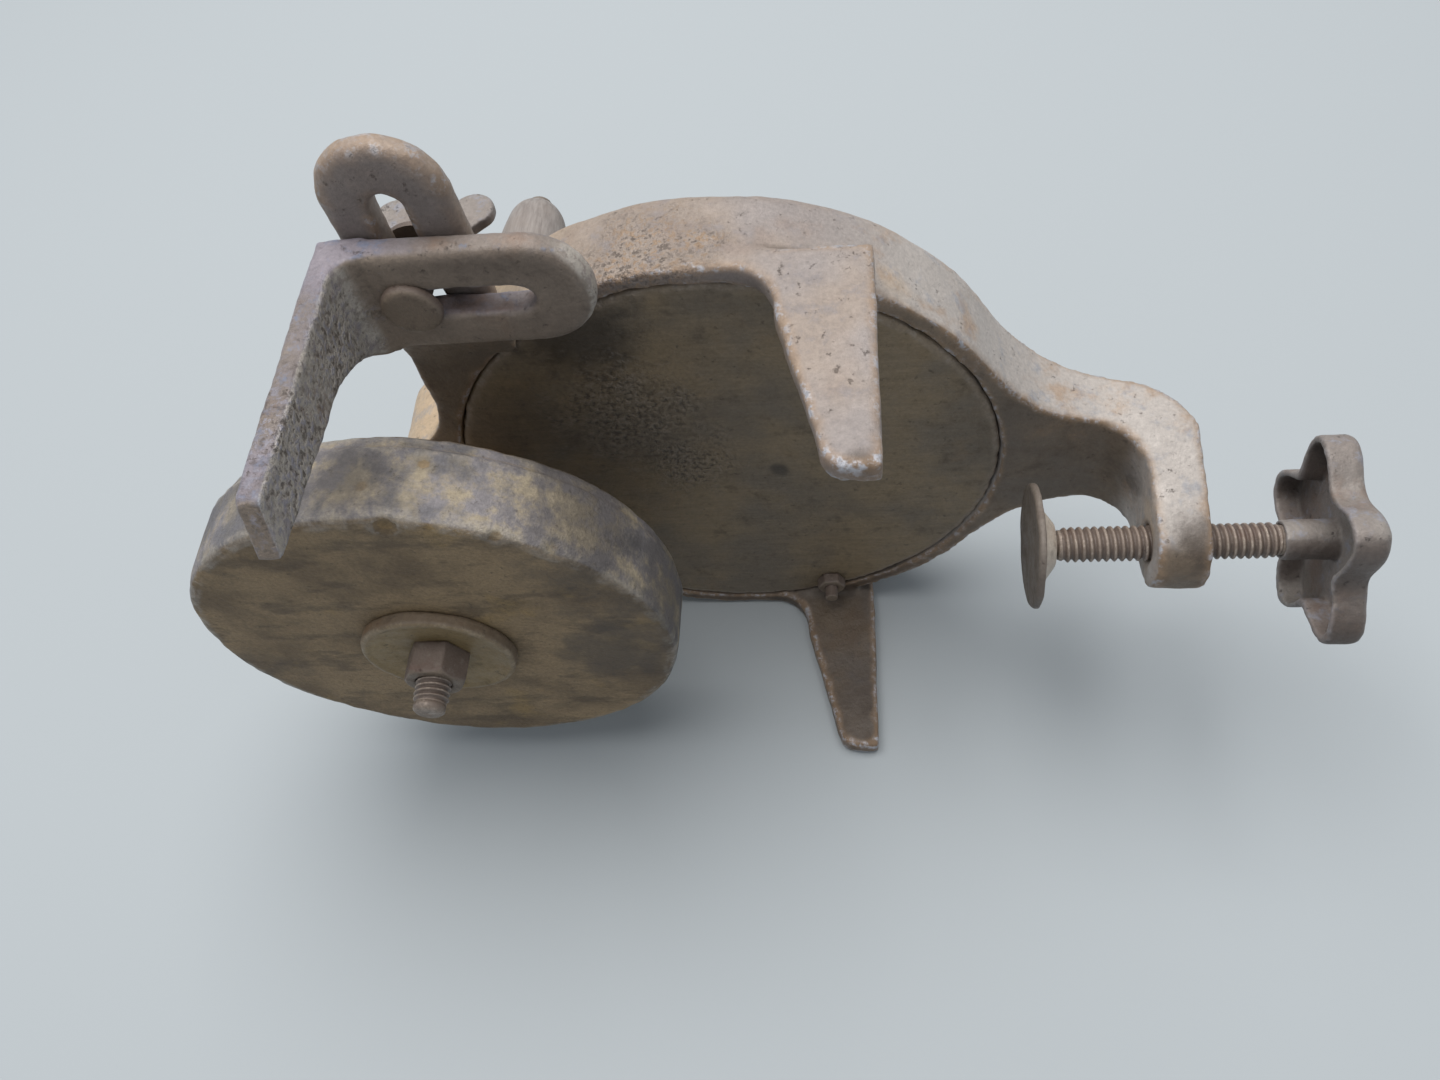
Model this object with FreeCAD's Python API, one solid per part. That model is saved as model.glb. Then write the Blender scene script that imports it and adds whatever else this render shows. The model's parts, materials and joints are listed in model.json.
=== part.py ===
import FreeCAD, Part
import math
import os
from FreeCAD import Vector

# Hand crank bench grinder, in millimetres, stood as it is used.
# z = 0 is the bench top under the feet. y = 0 is the casting's front face, which meets the
# bench edge. x = 0 is the centre plane. The wheel is on the -Y side, the crank on the +Y side.

# Clearances
running = 0.06      # radial, a shaft that turns or slides in its hole
fixed_fit = 0.03    # radial, a piece held still in its hole
apart = 0.3         # between faces of pieces that move past each other
seat = 0.02         # between faces that are drawn up tight

# Round gear case
case_height = 48.0          # its centre above the bench
case_depth = 31.0
case_back_wall = 5.0
case_back_round = 6.0
rim_width = 6.3             # front ring round the cover
ledge_width = 4.0           # the cover rests on it
cover_thickness = 5.0
cover_recess = 0.3
cover_seam = 0.3
cover_bearing_depth = 3.0   # blind hole inside the cover for the crank shaft's end

# Gear train on the centre plane: crank gear, idler pinion, idler gear, spindle pinion
module = 1.5
crank_teeth = 58
idler_pinion_teeth = 16
idler_teeth = 53
spindle_teeth = 14
addendum = 0.8              # in modules, stub teeth
dedendum = 1.1              # in modules
flank_points = 5
pressure_angle = math.radians(20)
backlash = 0.3
front_gear_width = 6.5
rear_gear_width = 7.2
gear_gap = 1.0              # between the front gears and the cover
plane_gap = 1.4             # between the front gears and the rear gears
gear_web = 4.0
gear_rim = 6.0              # radial, under the teeth
gear_headroom = 4.15        # between the idler gear's teeth and the case
crank_height = 31.5         # crank axis above the bench

# Spindle lug on top of the case
lug_radius = 24.0
island_radius = 18.0        # front wall of the pinion's pocket, which the cover is notched round
front_boss_radius = 16.0
front_boss_reach = 28.0     # in front of the case
rear_boss_length = 9.0
spindle_boss_radius = 19.0
pocket_clearance = 2.4      # round the spindle pinion
plug_cap_inset = 1.5        # from the edge of the boss
plug_cap_height = 2.5
plug_neck = 1.0             # between the plug's barrel and its cap

# Spindle, flanges and wheel
spindle_radius = 6.35
spindle_end = 85.5          # in front of the case
thread_radius = 5.55        # wheel thread and clamp thread
wheel_pitch = 1.81
wheel_thread_length = 21.0
spindle_tip_length = 2.6    # plain end in front of the thread
spindle_tip_inset = 0.6
thread_depth = 0.9
ridge_half = 0.42           # half the thread ridge's width at its root, in pitches
ridge_root = 0.15           # how far the ridge goes into its core
bush_wall = 2.65
wheel_radius = 75.0
wheel_width = 28.5
wheel_back = 33.9           # the wheel's back face in front of the case
wheel_round = 3.0
wheel_bush_wall = 6.3
pinion_pin_radius = 1.6
flange_radius = 24.0
inner_flange_thickness = 5.0
inner_flange_hub = 11.0
inner_flange_bevel = 1.5
outer_flange_thickness = 5.0
flange_relief = 0.8
flange_dish = 2.4
flange_dish_inner = 10.5
flange_dish_outer = 21.5
wheel_nut_flats = 17.5
wheel_nut_height = 10.8
hex_chamfer = 1.1           # of what the corners stand out past the flats
edge_break = 1.0            # small chamfer on turned pieces

# Crank shaft, arm and grip
shaft_radius = 6.5
crank_bush_wall = 3.2
crank_boss_radius = 17.0
crank_boss_length = 11.0
crank_radius = 96.5         # crank axis to grip axis
crank_lean = math.radians(3.5)
crank_arm_thickness = 10.0
crank_arm_gap = 1.6         # between the rear boss and the arm
crank_eye_radius = 15.0
crank_eye_inset = 1.5       # where the arm's sides leave the large eye
crank_eye_rise = 5.0
handle_eye_radius = 11.0
handle_eye_inset = 1.0      # where the arm's sides leave the small eye
handle_eye_drop = 3.0
crank_waist = 8.5           # half width of the arm
crank_flare = 1.0           # wider than the waist, a quarter of the way up
crank_arm_round = 2.0
crank_square = 10.0
square_inset = 0.5          # the square ends inside the arm
thread_stand = 3.0          # what a thread shows past its nut
crank_thread_radius = 4.8
crank_nut_flats = 17.0
crank_nut_height = 8.0
washer_thickness = 1.6
crank_washer_radius = 9.5
crank_gear_hub = 12.0
crank_gear_hub_length = 12.0
key_width = 4.0
key_height = 4.0
grip_length = 73.0
grip_radius = 13.2
grip_neck = 9.5
grip_neck_round = 1.0
grip_belly = 0.63           # share of the length at the middle of its belly
grip_shoulder = 0.835       # share of the length where the dome starts
grip_shoulder_inset = 2.0
grip_dome_inset = 3.9
grip_dome_rise = 5.0
grip_gap = 1.2
grip_bore = 4.1
handle_bolt_radius = 4.0
handle_head_radius = 5.0
handle_head_height = 2.2
handle_collar_radius = 6.4
head_round = 0.6            # of a bolt head's height

# Idler stud
stud_radius = 6.0
stud_head_radius = 9.0
stud_head_height = 1.8
stud_boss_radius = 12.0
stud_boss_length = 3.0
stud_thread_radius = 5.0
stud_nut_flats = 15.0
stud_nut_height = 7.0
stud_stand = 1.0            # what it shows past its nut
idler_bush_wall = 1.8
idler_hub_radius = 10.3
idler_gear_hub_wall = 5.0

# Cover studs and nuts
cover_stud_angles = (-157.5, 125.0)     # degrees from +X towards +Z
cover_stud_inset = 5.6      # from the cover's edge
cover_stud_radius = 2.4
cover_stud_stand = 8.5
cover_stud_depth = 9.0
cover_nut_flats = 9.5
cover_nut_height = 4.2
cover_boss_radius = 6.5

# Feet
foot_thickness = 7.4
foot_reach = 64.5           # in front of the case
foot_rear = 7.0             # behind the case front
foot_tip_height = 15.0
foot_bend_reach = 15.0      # where its top edge starts to turn up
foot_bend_height = 26.0
foot_sweep_reach = 4.5
foot_sweep_height = 29.5
foot_top_height = 38.0      # where the foot runs into the rim
foot_tip_round = 8.0

# Clamp arm, screw, knob and pad
arm_root_half = 46.0        # half width where the arm leaves the rim
arm_neck_half = 28.0
arm_neck_depth = 50.0       # below the bench top
arm_waist_half = 20.5
arm_waist_depth = 72.0
tongue_top_depth = 81.5
tongue_thickness = 16.0
throat_round = 17.0
arm_flare = (0.36, 0.58)    # where the sides' upper sweep passes, across and down
arm_taper = (0.27, 0.55)    # where the sides' lower sweep passes, across and down
arm_back_depth = 47.0       # where the back starts to slope forward
arm_back_waist = 16.8       # the sloping back's lower end, behind the front face
arm_back_waist_depth = 76.8
arm_heel_reach = 10.2       # middle of the heel, behind the front face
arm_heel_depth = 90.2
arm_heel_end = 1.5          # in front of the front face
screw_reach = 31.2          # screw axis in front of the case
tongue_radius = 14.0
clamp_pitch = 2.31
clamp_thread_top = 54.6     # below the bench top
clamp_thread_end = 119.6
pad_radius = 19.5
pad_top_depth = 46.5
pad_disc = 2.2
pad_edge = 0.8
pad_step = 0.6              # the cone starts this far below the disc
pad_cone_radius = 13.0
pad_neck_radius = 6.6
pad_cone_height = 5.2
button_radius = 5.0
button_height = 2.2
button_neck_radius = 3.4
knob_mean_radius = 27.0
knob_lobe = 5.0
knob_lobes = 5
knob_angle = math.radians(-31)
knob_mouth_depth = 128.0
knob_depth = 10.5
knob_crown = 3.0
knob_wall = 2.8
knob_hub_radius = 6.2
knob_pin_radius = 1.6
knob_outline_points = 60

# Rest arm and tool rest
rest_arm_half = 17.3
rest_arm_height = 119.0     # its centre line above the bench
rest_arm_end = 142.6
rest_arm_front = 4.3        # in front of the case
rest_arm_thickness = 8.6
rest_arm_ramp_start = 64.0
rest_arm_ramp_end = 78.0
rest_arm_round = 4.0
slot_width = 8.8
slot_inner = 76.0           # x of the slot's ends
slot_outer = 127.6
web_start = 45.0            # x where the arm's top edge turns up to the lug
web_angle = math.radians(20)    # where the web leaves the lug
web_dip = (0.38, 0.65)      # where the web's top edge passes, across and down
leg_thickness = 8.3
leg_half = 17.2
leg_centre = 99.7           # x of the leg's slot
leg_drop = 48.0             # its lower end, below the bolt
leg_slot_drop = 32.6        # its slot's lower end, below the bolt
leg_round = 3.0
shelf_thickness = 6.3
shelf_rise = 14.7           # its underside, above the bolt
shelf_outer = 116.9
shelf_waist = 98.0
shelf_end_outer = 83.6      # in front of the case
shelf_end_inner = 90.0
shelf_end_x = 101.5
shelf_flare_start = 38.0
shelf_flare_end = 14.0
shelf_flare_in = 0.35       # where the flare passes, as a share of its width
shelf_corner_round = 6.5
bolt_radius = 4.0
bolt_head_radius = 8.0
bolt_head_height = 3.0
bolt_square = 8.0
bolt_square_round = 4.3     # radius that the square's corners are turned to
bolt_end = 21.0             # behind the case front
washer_radius = 11.0
wing_boss_radius = 8.0
wing_boss_height = 8.0
wing_boss_taper = 0.8
wing_root = 0.8             # the wings start this far above the boss's seat
wing_root_half = 6.6
wing_join = (0.8, 0.55)     # where a wing's sides meet its round tip, in tip radii
wing_span = 17.0
wing_tip_radius = 6.0
wing_tip_y = 20.0
wing_thickness = 3.6

# Worked out from the sizes above
idler_height = crank_height + module * (crank_teeth + idler_pinion_teeth) / 2
spindle_height = idler_height + module * (idler_teeth + spindle_teeth) / 2
idler_tip_radius = module * (idler_teeth / 2 + addendum)
cavity_radius = idler_height + idler_tip_radius + gear_headroom - case_height
cover_radius = cavity_radius + ledge_width
case_radius = cover_radius + rim_width
cover_stud_circle = cover_radius - cover_stud_inset
cover_back = cover_recess + cover_thickness
shaft_start = cover_back - cover_bearing_depth + apart
cavity_back = case_depth - case_back_wall
front_gear_start = cover_back + gear_gap
front_gear_end = front_gear_start + front_gear_width
rear_gear_start = front_gear_end + plane_gap
rear_gear_end = rear_gear_start + rear_gear_width
pocket_radius = module * (spindle_teeth / 2 + addendum) + pocket_clearance
spindle_rear = case_depth + rear_boss_length
crank_rear = case_depth + crank_boss_length
crank_arm_start = crank_rear + crank_arm_gap
crank_arm_end = crank_arm_start + crank_arm_thickness
grip_start = crank_arm_end + grip_gap
grip_end = grip_start + grip_length
grip_x = crank_radius * math.sin(crank_lean)
grip_height = crank_height + crank_radius * math.cos(crank_lean)
idler_hub_start = front_gear_start - gear_gap + 2 * apart + stud_head_height
pinion_hub_radius = module * (spindle_teeth / 2 - dedendum)
pinion_pin_y = rear_gear_start + rear_gear_width / 2
wheel_front = wheel_back + wheel_width
flange_face = wheel_front + outer_flange_thickness
nut_seat = flange_face - flange_dish
nut_face = nut_seat + wheel_nut_height
tongue_bottom_depth = tongue_top_depth + tongue_thickness
leg_back = rest_arm_front + apart
leg_front = leg_back + leg_thickness
bolt_height = rest_arm_height
leg_bottom = bolt_height - leg_drop
leg_slot_bottom = bolt_height - leg_slot_drop
shelf_bottom = bolt_height + shelf_rise
shelf_top = shelf_bottom + shelf_thickness
washer_start = rest_arm_thickness - rest_arm_front + apart
wing_start = washer_start + washer_thickness + seat


def rod_y(x, z, radius, start, end):
    """Round bar along Y."""
    return Part.makeCylinder(radius, end - start, Vector(x, start, z), Vector(0, 1, 0))


def rod_z(x, y, radius, start, end):
    """Round bar along Z."""
    return Part.makeCylinder(radius, end - start, Vector(x, y, start), Vector(0, 0, 1))


def block(x, y, z):
    """Box from three (low, high) pairs."""
    size = (x[1] - x[0], y[1] - y[0], z[1] - z[0])
    return Part.makeBox(*size, Vector(x[0], y[0], z[0]))


def outline(start, steps, place):
    """Face inside an outline. A step is a point, or a (middle, end) pair for an arc."""
    edges = []
    at = start
    for step in steps:
        if isinstance(step[0], tuple):
            middle, end = step
            edges.append(Part.Arc(place(*at), place(*middle), place(*end)).toShape())
        else:
            end = step
            edges.append(Part.LineSegment(place(*at), place(*end)).toShape())
        at = end
    return Part.Face(Part.Wire(edges))


def bar_x(start, steps, low, high):
    """Outline in (y, z), drawn out along X from low to high."""
    return outline(start, steps, lambda y, z: Vector(low, y, z)).extrude(Vector(high - low, 0, 0))


def bar_y(start, steps, low, high):
    """Outline in (x, z), drawn out along Y from low to high."""
    return outline(start, steps, lambda x, z: Vector(x, low, z)).extrude(Vector(0, high - low, 0))


def bar_z(start, steps, low, high):
    """Outline in (x, y), drawn out along Z from low to high."""
    return outline(start, steps, lambda x, y: Vector(x, y, low)).extrude(Vector(0, 0, high - low))


def turned_y(x, z, start, steps):
    """Outline in (radius, y), turned about an axis along Y."""
    face = outline(start, steps, lambda r, y: Vector(x + r, y, z))
    return face.revolve(Vector(x, 0, z), Vector(0, 1, 0), 360)


def turned_z(x, y, start, steps):
    """Outline in (radius, z), turned about an axis along Z."""
    face = outline(start, steps, lambda r, z: Vector(x + r, y, z))
    return face.revolve(Vector(x, y, 0), Vector(0, 0, 1), 360)


def between(low, high, share):
    """Point part of the way from one (across, height) corner to a higher one."""
    across, down = share
    return low[0] + (high[0] - low[0]) * across, high[1] + (low[1] - high[1]) * down


def polygon(points):
    """Steps that close a straight-sided outline."""
    return points[1:] + points[:1]


def hexagon_y(x, z, flats, start, end):
    """Hexagon bar along Y with its outer corners chamfered at the far end."""
    corner = flats / math.sqrt(3)
    points = []
    for side in range(6):
        angle = math.radians(30 + 60 * side)
        points.append((x + corner * math.cos(angle), z + corner * math.sin(angle)))
    bar = bar_y(points[0], polygon(points), min(start, end), max(start, end))
    chamfer = (corner - flats / 2) * hex_chamfer
    inward = chamfer if start > end else -chamfer
    shape = [(0, start), (corner, start), (corner, end + inward), (corner - chamfer, end), (0, end)]
    return bar.common(turned_y(x, z, shape[0], polygon(shape)))


def slot_y(centre_x, centre_z, half_x, half_z, radius, start, end):
    """Round-ended slot along Y, long in X or in Z."""
    x, z = half_x - radius, half_z - radius
    ends = [rod_y(centre_x - x, centre_z - z, radius, start, end),
            rod_y(centre_x + x, centre_z + z, radius, start, end)]
    side_x, side_z = (x, radius) if half_x > half_z else (radius, z)
    middle = block((centre_x - side_x, centre_x + side_x), (start, end),
                   (centre_z - side_z, centre_z + side_z))
    return middle.fuse(ends)


def rounded(solid, radius, wanted):
    """Round the edges for which wanted(edge centre, edge) holds."""
    edges = [edge for edge in solid.Edges if wanted(edge.CenterOfMass, edge)]
    return solid.makeFillet(radius, edges)


def involute(angle):
    return math.tan(angle) - angle


def gear(height, teeth, shifted, start, end):
    """Spur gear on the centre plane; shifted puts a gap, not a tooth, on the +Z side."""
    pitch_radius = module * teeth / 2
    base = pitch_radius * math.cos(pressure_angle)
    tip = pitch_radius + module * addendum
    root = pitch_radius - module * dedendum
    half_tooth = math.pi / (2 * teeth) - backlash / (2 * pitch_radius) + involute(pressure_angle)
    flank_start = max(base, root)
    flank = []
    for step in range(flank_points):
        radius = flank_start + (tip - flank_start) * step / (flank_points - 1)
        flank.append((radius, half_tooth - involute(math.acos(min(1, base / radius)))))
    if root < base:
        flank.insert(0, (root, flank[0][1]))
    turn = math.pi / teeth if shifted else 0
    points = []
    for tooth in range(teeth):
        centre = 2 * math.pi * tooth / teeth + turn
        side = [(r, centre - a) for r, a in flank] + [(r, centre + a) for r, a in reversed(flank)]
        points += [(r * math.sin(a), height + r * math.cos(a)) for r, a in side]
    return bar_y(points[0], polygon(points), start, end)


def ridge(pitch, turns, radius, depth, direction, base):
    """Helical thread ridge round an axis through base, along direction."""
    root = radius - depth
    path = Part.makeHelix(pitch, pitch * turns, root)
    half = pitch * ridge_half
    foot = root - ridge_root
    corners = [Vector(foot, 0, -half), Vector(radius, 0, 0), Vector(foot, 0, half)]
    profile = Part.makePolygon(corners + corners[:1])
    solid = Part.Wire(path).makePipeShell([profile], True, True)
    solid.Placement = FreeCAD.Placement(base, FreeCAD.Rotation(Vector(0, 0, 1), direction))
    return solid


# Gear case

def clamp_arm():
    """Arm that goes down past the bench edge and turns forward under the bench."""
    front = -(screw_reach + 2 * tongue_radius)
    back = case_depth - case_back_round
    throat = 1 - math.sqrt(0.5)
    side = bar_x((0, case_height),
                 [(0, -tongue_top_depth + throat_round),
                  ((-throat_round * throat, -tongue_top_depth + throat_round * throat),
                   (-throat_round, -tongue_top_depth)),
                  (front, -tongue_top_depth), (front, -tongue_bottom_depth),
                  (-arm_heel_end, -tongue_bottom_depth),
                  ((arm_heel_reach, -arm_heel_depth), (arm_back_waist, -arm_back_waist_depth)),
                  (back, -arm_back_depth), (back, case_height), (0, case_height)],
                 -case_radius, case_radius)
    root = -math.sqrt(case_radius ** 2 - arm_root_half ** 2) + case_height
    neck = (arm_neck_half, -arm_neck_depth)
    waist = (arm_waist_half, -arm_waist_depth)
    flare = between(neck, (arm_root_half, root), arm_flare)
    taper = between(waist, neck, arm_taper)
    right = [(arm_root_half, root), flare, neck, taper, waist, (arm_waist_half, -tongue_bottom_depth)]
    left = [(-x, z) for x, z in right]
    face = bar_y((0, case_height), [right[0], (right[1], right[2]), (right[3], right[4]), right[5],
                                    left[5], left[4], (left[3], left[2]), (left[1], left[0]),
                                    (0, case_height)], front, case_depth)
    lean = math.asin((arm_waist_half - tongue_radius) / screw_reach)
    touch = (tongue_radius * math.cos(lean), -screw_reach - tongue_radius * math.sin(lean))
    plan = bar_z((-case_radius, case_depth),
                 [(-case_radius, 0), (-arm_waist_half, 0), (-touch[0], touch[1]),
                  ((0, -screw_reach - tongue_radius), touch), (arm_waist_half, 0), (case_radius, 0),
                  (case_radius, case_depth), (-case_radius, case_depth)],
                 -tongue_bottom_depth, case_height)
    return side.common(face).common(plan)


def foot(side):
    """Upright plate that stands on the bench, flush with the rim's widest point."""
    outer = side * case_radius
    inner = side * (case_radius - foot_thickness)
    nose = foot_tip_round * (1 - math.sqrt(0.5))
    steps = [(-foot_reach, 0), (-foot_reach, foot_tip_height - foot_tip_round),
             ((-foot_reach + nose, foot_tip_height - nose), (-foot_reach + foot_tip_round, foot_tip_height)),
             (-foot_bend_reach, foot_bend_height),
             ((-foot_sweep_reach, foot_sweep_height), (0, foot_top_height)),
             (0, case_height), (foot_rear, case_height), (foot_rear, 0)]
    return bar_x((foot_rear, 0), steps, min(outer, inner), max(outer, inner))


def rest_arm():
    """Slotted arm to the wheel's right, which carries the tool rest."""
    top, bottom = rest_arm_height + rest_arm_half, rest_arm_height - rest_arm_half
    end = rest_arm_end - rest_arm_half
    back = rest_arm_thickness - rest_arm_front
    face = bar_y((0, bottom), [(end, bottom), ((rest_arm_end, rest_arm_height), (end, top)),
                               (0, top), (0, bottom)], -rest_arm_front, back)
    plan = bar_z((0, 0), [(rest_arm_ramp_start, 0), (rest_arm_ramp_end, -rest_arm_front),
                          (rest_arm_end, -rest_arm_front), (rest_arm_end, back), (0, back), (0, 0)],
                 bottom, top)
    arm = face.common(plan)
    round_ends = rounded(arm, rest_arm_round,
                         lambda c, e: c.x > rest_arm_ramp_end and e.BoundBox.YLength < apart)
    slot = slot_y((slot_inner + slot_outer) / 2, rest_arm_height, (slot_outer - slot_inner) / 2,
                  slot_width / 2, slot_width / 2, -case_depth, case_depth)
    return round_ends.cut(slot)


def lug_web():
    """Wall between the spindle lug, the case and the rest arm."""
    start = (lug_radius * math.cos(web_angle), spindle_height + lug_radius * math.sin(web_angle))
    top = rest_arm_height + rest_arm_half
    middle = (start[0] + (web_start - start[0]) * web_dip[0], start[1] + (top - start[1]) * web_dip[1])
    low = rest_arm_height - rest_arm_half
    return bar_y((0, low), [(0, start[1]), start, (middle, (web_start, top)),
                            (rest_arm_ramp_start, top), (rest_arm_ramp_start, low), (0, low)],
                 0, rest_arm_thickness - rest_arm_front)


def cover_stud_places():
    for degrees in cover_stud_angles:
        angle = math.radians(degrees)
        yield cover_stud_circle * math.cos(angle), case_height + cover_stud_circle * math.sin(angle)


def gear_case():
    drum = rod_y(0, case_height, case_radius, 0, case_depth)
    drum = rounded(drum, case_back_round, lambda c, e: c.y > case_depth - 1 and len(e.Vertexes) == 1)
    lug = rod_y(0, spindle_height, lug_radius, 0, case_depth)
    added = [lug, lug_web(), rest_arm(), clamp_arm(), foot(1), foot(-1),
             rod_y(0, spindle_height, front_boss_radius, -front_boss_reach, 0),
             rod_y(0, spindle_height, spindle_boss_radius, case_depth - case_back_wall, spindle_rear),
             rod_y(0, crank_height, crank_boss_radius, case_depth - case_back_wall, crank_rear),
             rod_y(0, idler_height, stud_boss_radius, case_depth - case_back_wall,
                   case_depth + stud_boss_length)]
    solid = drum.fuse(added)
    island = rod_y(0, spindle_height, island_radius, 0, cover_back)
    recess = rod_y(0, case_height, cover_radius + cover_seam, 0, cover_back)
    cavity = rod_y(0, case_height, cavity_radius, 0, cavity_back)
    bosses = [rod_y(x, z, cover_boss_radius, cover_back, cavity_back) for x, z in cover_stud_places()]
    hollow = recess.fuse(cavity).cut([island] + bosses)
    bush_radius = spindle_radius + bush_wall
    bores = [rod_y(0, spindle_height, pocket_radius, cover_back, spindle_rear),
             rod_y(0, spindle_height, bush_radius + fixed_fit, -front_boss_reach, cover_back),
             rod_y(0, crank_height, shaft_radius + crank_bush_wall + fixed_fit, 0, crank_rear),
             rod_y(0, idler_height, stud_thread_radius + fixed_fit, 0, case_depth + stud_boss_length),
             rod_z(0, -screw_reach, thread_radius + running, -tongue_bottom_depth, -tongue_top_depth)]
    for x, z in cover_stud_places():
        bores.append(rod_y(x, z, cover_stud_radius + fixed_fit, cover_back, cover_back + cover_stud_depth))
    return solid.cut([hollow] + bores).removeSplitter()


def case_cover():
    disc = rod_y(0, case_height, cover_radius, cover_recess, cover_back - seat)
    holes = [rod_y(0, spindle_height, island_radius + cover_seam, 0, case_depth),
             rod_y(0, crank_height, shaft_radius + running, shaft_start - apart, case_depth)]
    holes += [rod_y(x, z, cover_stud_radius + cover_seam / 2, 0, case_depth) for x, z in cover_stud_places()]
    return disc.cut(holes)


def cover_studs():
    end = cover_back + cover_stud_depth - apart
    return Part.makeCompound([rod_y(x, z, cover_stud_radius, -cover_stud_stand, end)
                              for x, z in cover_stud_places()])


def cover_nuts():
    nuts = []
    for x, z in cover_stud_places():
        face = cover_recess - seat
        nut = hexagon_y(x, z, cover_nut_flats, face, face - cover_nut_height)
        nuts.append(nut.cut(rod_y(x, z, cover_stud_radius + fixed_fit, -case_depth, case_depth)))
    return Part.makeCompound(nuts)


def bush(height, bore, wall, start, end):
    return rod_y(0, height, bore + wall, start, end).cut(rod_y(0, height, bore, start, end))


def spindle_bush_rear():
    """Flanged plug that closes the pocket behind the spindle pinion."""
    start = case_depth - case_back_wall
    body = rod_y(0, spindle_height, pocket_radius - running, start, spindle_rear)
    cap = rod_y(0, spindle_height, spindle_boss_radius - plug_cap_inset,
                spindle_rear + seat, spindle_rear + plug_cap_height)
    neck = rod_y(0, spindle_height, pocket_radius - plug_neck, start, spindle_rear + plug_neck)
    bore = rod_y(0, spindle_height, spindle_radius + running, start, spindle_rear - plug_neck)
    return body.fuse([cap, neck]).cut(bore)


# Crank

def crank_shaft():
    square_start = crank_arm_start - seat
    square_end = crank_arm_end - square_inset
    half = crank_square / 2
    square = block((-half, half), (square_start, square_end), (crank_height - half, crank_height + half))
    square.rotate(Vector(0, 0, crank_height), Vector(0, 1, 0), math.degrees(crank_lean))
    end = crank_arm_end + washer_thickness + crank_nut_height + thread_stand
    shaft = rod_y(0, crank_height, shaft_radius, shaft_start, square_start)
    thread = rod_y(0, crank_height, crank_thread_radius, square_end, end)
    keyway = block((-key_width / 2, key_width / 2),
                   (rear_gear_start - crank_gear_hub_length / 2, rear_gear_end),
                   (crank_height + shaft_radius - key_height / 2, crank_height + crank_radius))
    return shaft.fuse([square, thread]).cut(keyway)


def web_gear(height, teeth, shifted, start, end, hub_radius, hub_start, bore):
    """Gear with a thin web between its toothed rim and its hub."""
    inner = module * (teeth / 2 - dedendum) - gear_rim
    middle = (start + end) / 2
    wheel = gear(height, teeth, shifted, start, end)
    for low, high in ((start, middle - gear_web / 2), (middle + gear_web / 2, end)):
        wheel = wheel.cut(rod_y(0, height, inner, low, high).cut(rod_y(0, height, hub_radius, low, high)))
    hub = rod_y(0, height, hub_radius, hub_start, end)
    return wheel.fuse(hub).cut(rod_y(0, height, bore, hub_start, end))


def crank_gear():
    hub_start = rear_gear_end - crank_gear_hub_length
    wheel = web_gear(crank_height, crank_teeth, False, rear_gear_start, rear_gear_end,
                     crank_gear_hub, hub_start, shaft_radius + fixed_fit)
    half = key_width / 2 + fixed_fit
    top = crank_height + shaft_radius + key_height / 2 + fixed_fit
    return wheel.cut(block((-half, half), (hub_start, rear_gear_end), (crank_height, top)))


def gear_key():
    half = key_width / 2 - fixed_fit
    floor = crank_height + shaft_radius - key_height / 2 + fixed_fit
    start = rear_gear_start - crank_gear_hub_length / 2 + fixed_fit
    return block((-half, half), (start, rear_gear_end - fixed_fit), (floor, floor + key_height - fixed_fit))


def crank_arm():
    """Waisted arm from the shaft to the handle, built upright and then leant."""
    top = crank_height + crank_radius
    eye = (crank_eye_radius - crank_eye_inset, crank_height + crank_eye_rise)
    flare = (crank_waist + crank_flare, crank_height + crank_radius / 4)
    waist = (crank_waist, crank_height + crank_radius / 2)
    tip = (handle_eye_radius - handle_eye_inset, top - handle_eye_drop)
    steps = [(flare, waist), tip, ((0, top + handle_eye_radius), (-tip[0], tip[1])), (-waist[0], waist[1]),
             ((-flare[0], flare[1]), (-eye[0], eye[1])), ((0, crank_height - crank_eye_radius), eye)]
    arm = bar_y(eye, steps, crank_arm_start, crank_arm_end)
    arm = rounded(arm, crank_arm_round, lambda c, e: c.y > crank_arm_end - apart)
    half = crank_square / 2 + fixed_fit
    square = block((-half, half), (crank_arm_start, crank_arm_end),
                   (crank_height - half, crank_height + half))
    bolt_hole = rod_y(0, top, handle_bolt_radius + fixed_fit, crank_arm_start, crank_arm_end)
    arm = arm.cut([square, bolt_hole])
    arm.rotate(Vector(0, 0, crank_height), Vector(0, 1, 0), math.degrees(crank_lean))
    return arm


def crank_washer():
    start = crank_arm_end + seat
    ring = rod_y(0, crank_height, crank_washer_radius, start, start + washer_thickness - seat)
    return ring.cut(rod_y(0, crank_height, crank_thread_radius + fixed_fit, start, grip_end))


def crank_nut():
    start = crank_arm_end + washer_thickness + seat
    nut = hexagon_y(0, crank_height, crank_nut_flats, start, start + crank_nut_height)
    return nut.cut(rod_y(0, crank_height, crank_thread_radius + fixed_fit, start, grip_end))


def handle_bolt():
    head_start = grip_end - handle_head_height
    shank = rod_y(grip_x, grip_height, handle_bolt_radius, crank_arm_start, head_start)
    head = rod_y(grip_x, grip_height, handle_head_radius, head_start, grip_end)
    head = rounded(head, handle_head_height * head_round,
                   lambda c, e: c.y > grip_end - apart and len(e.Vertexes) == 1)
    collar = rod_y(grip_x, grip_height, handle_collar_radius, crank_arm_end + seat, grip_start - apart)
    return shank.fuse([head, collar])


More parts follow.
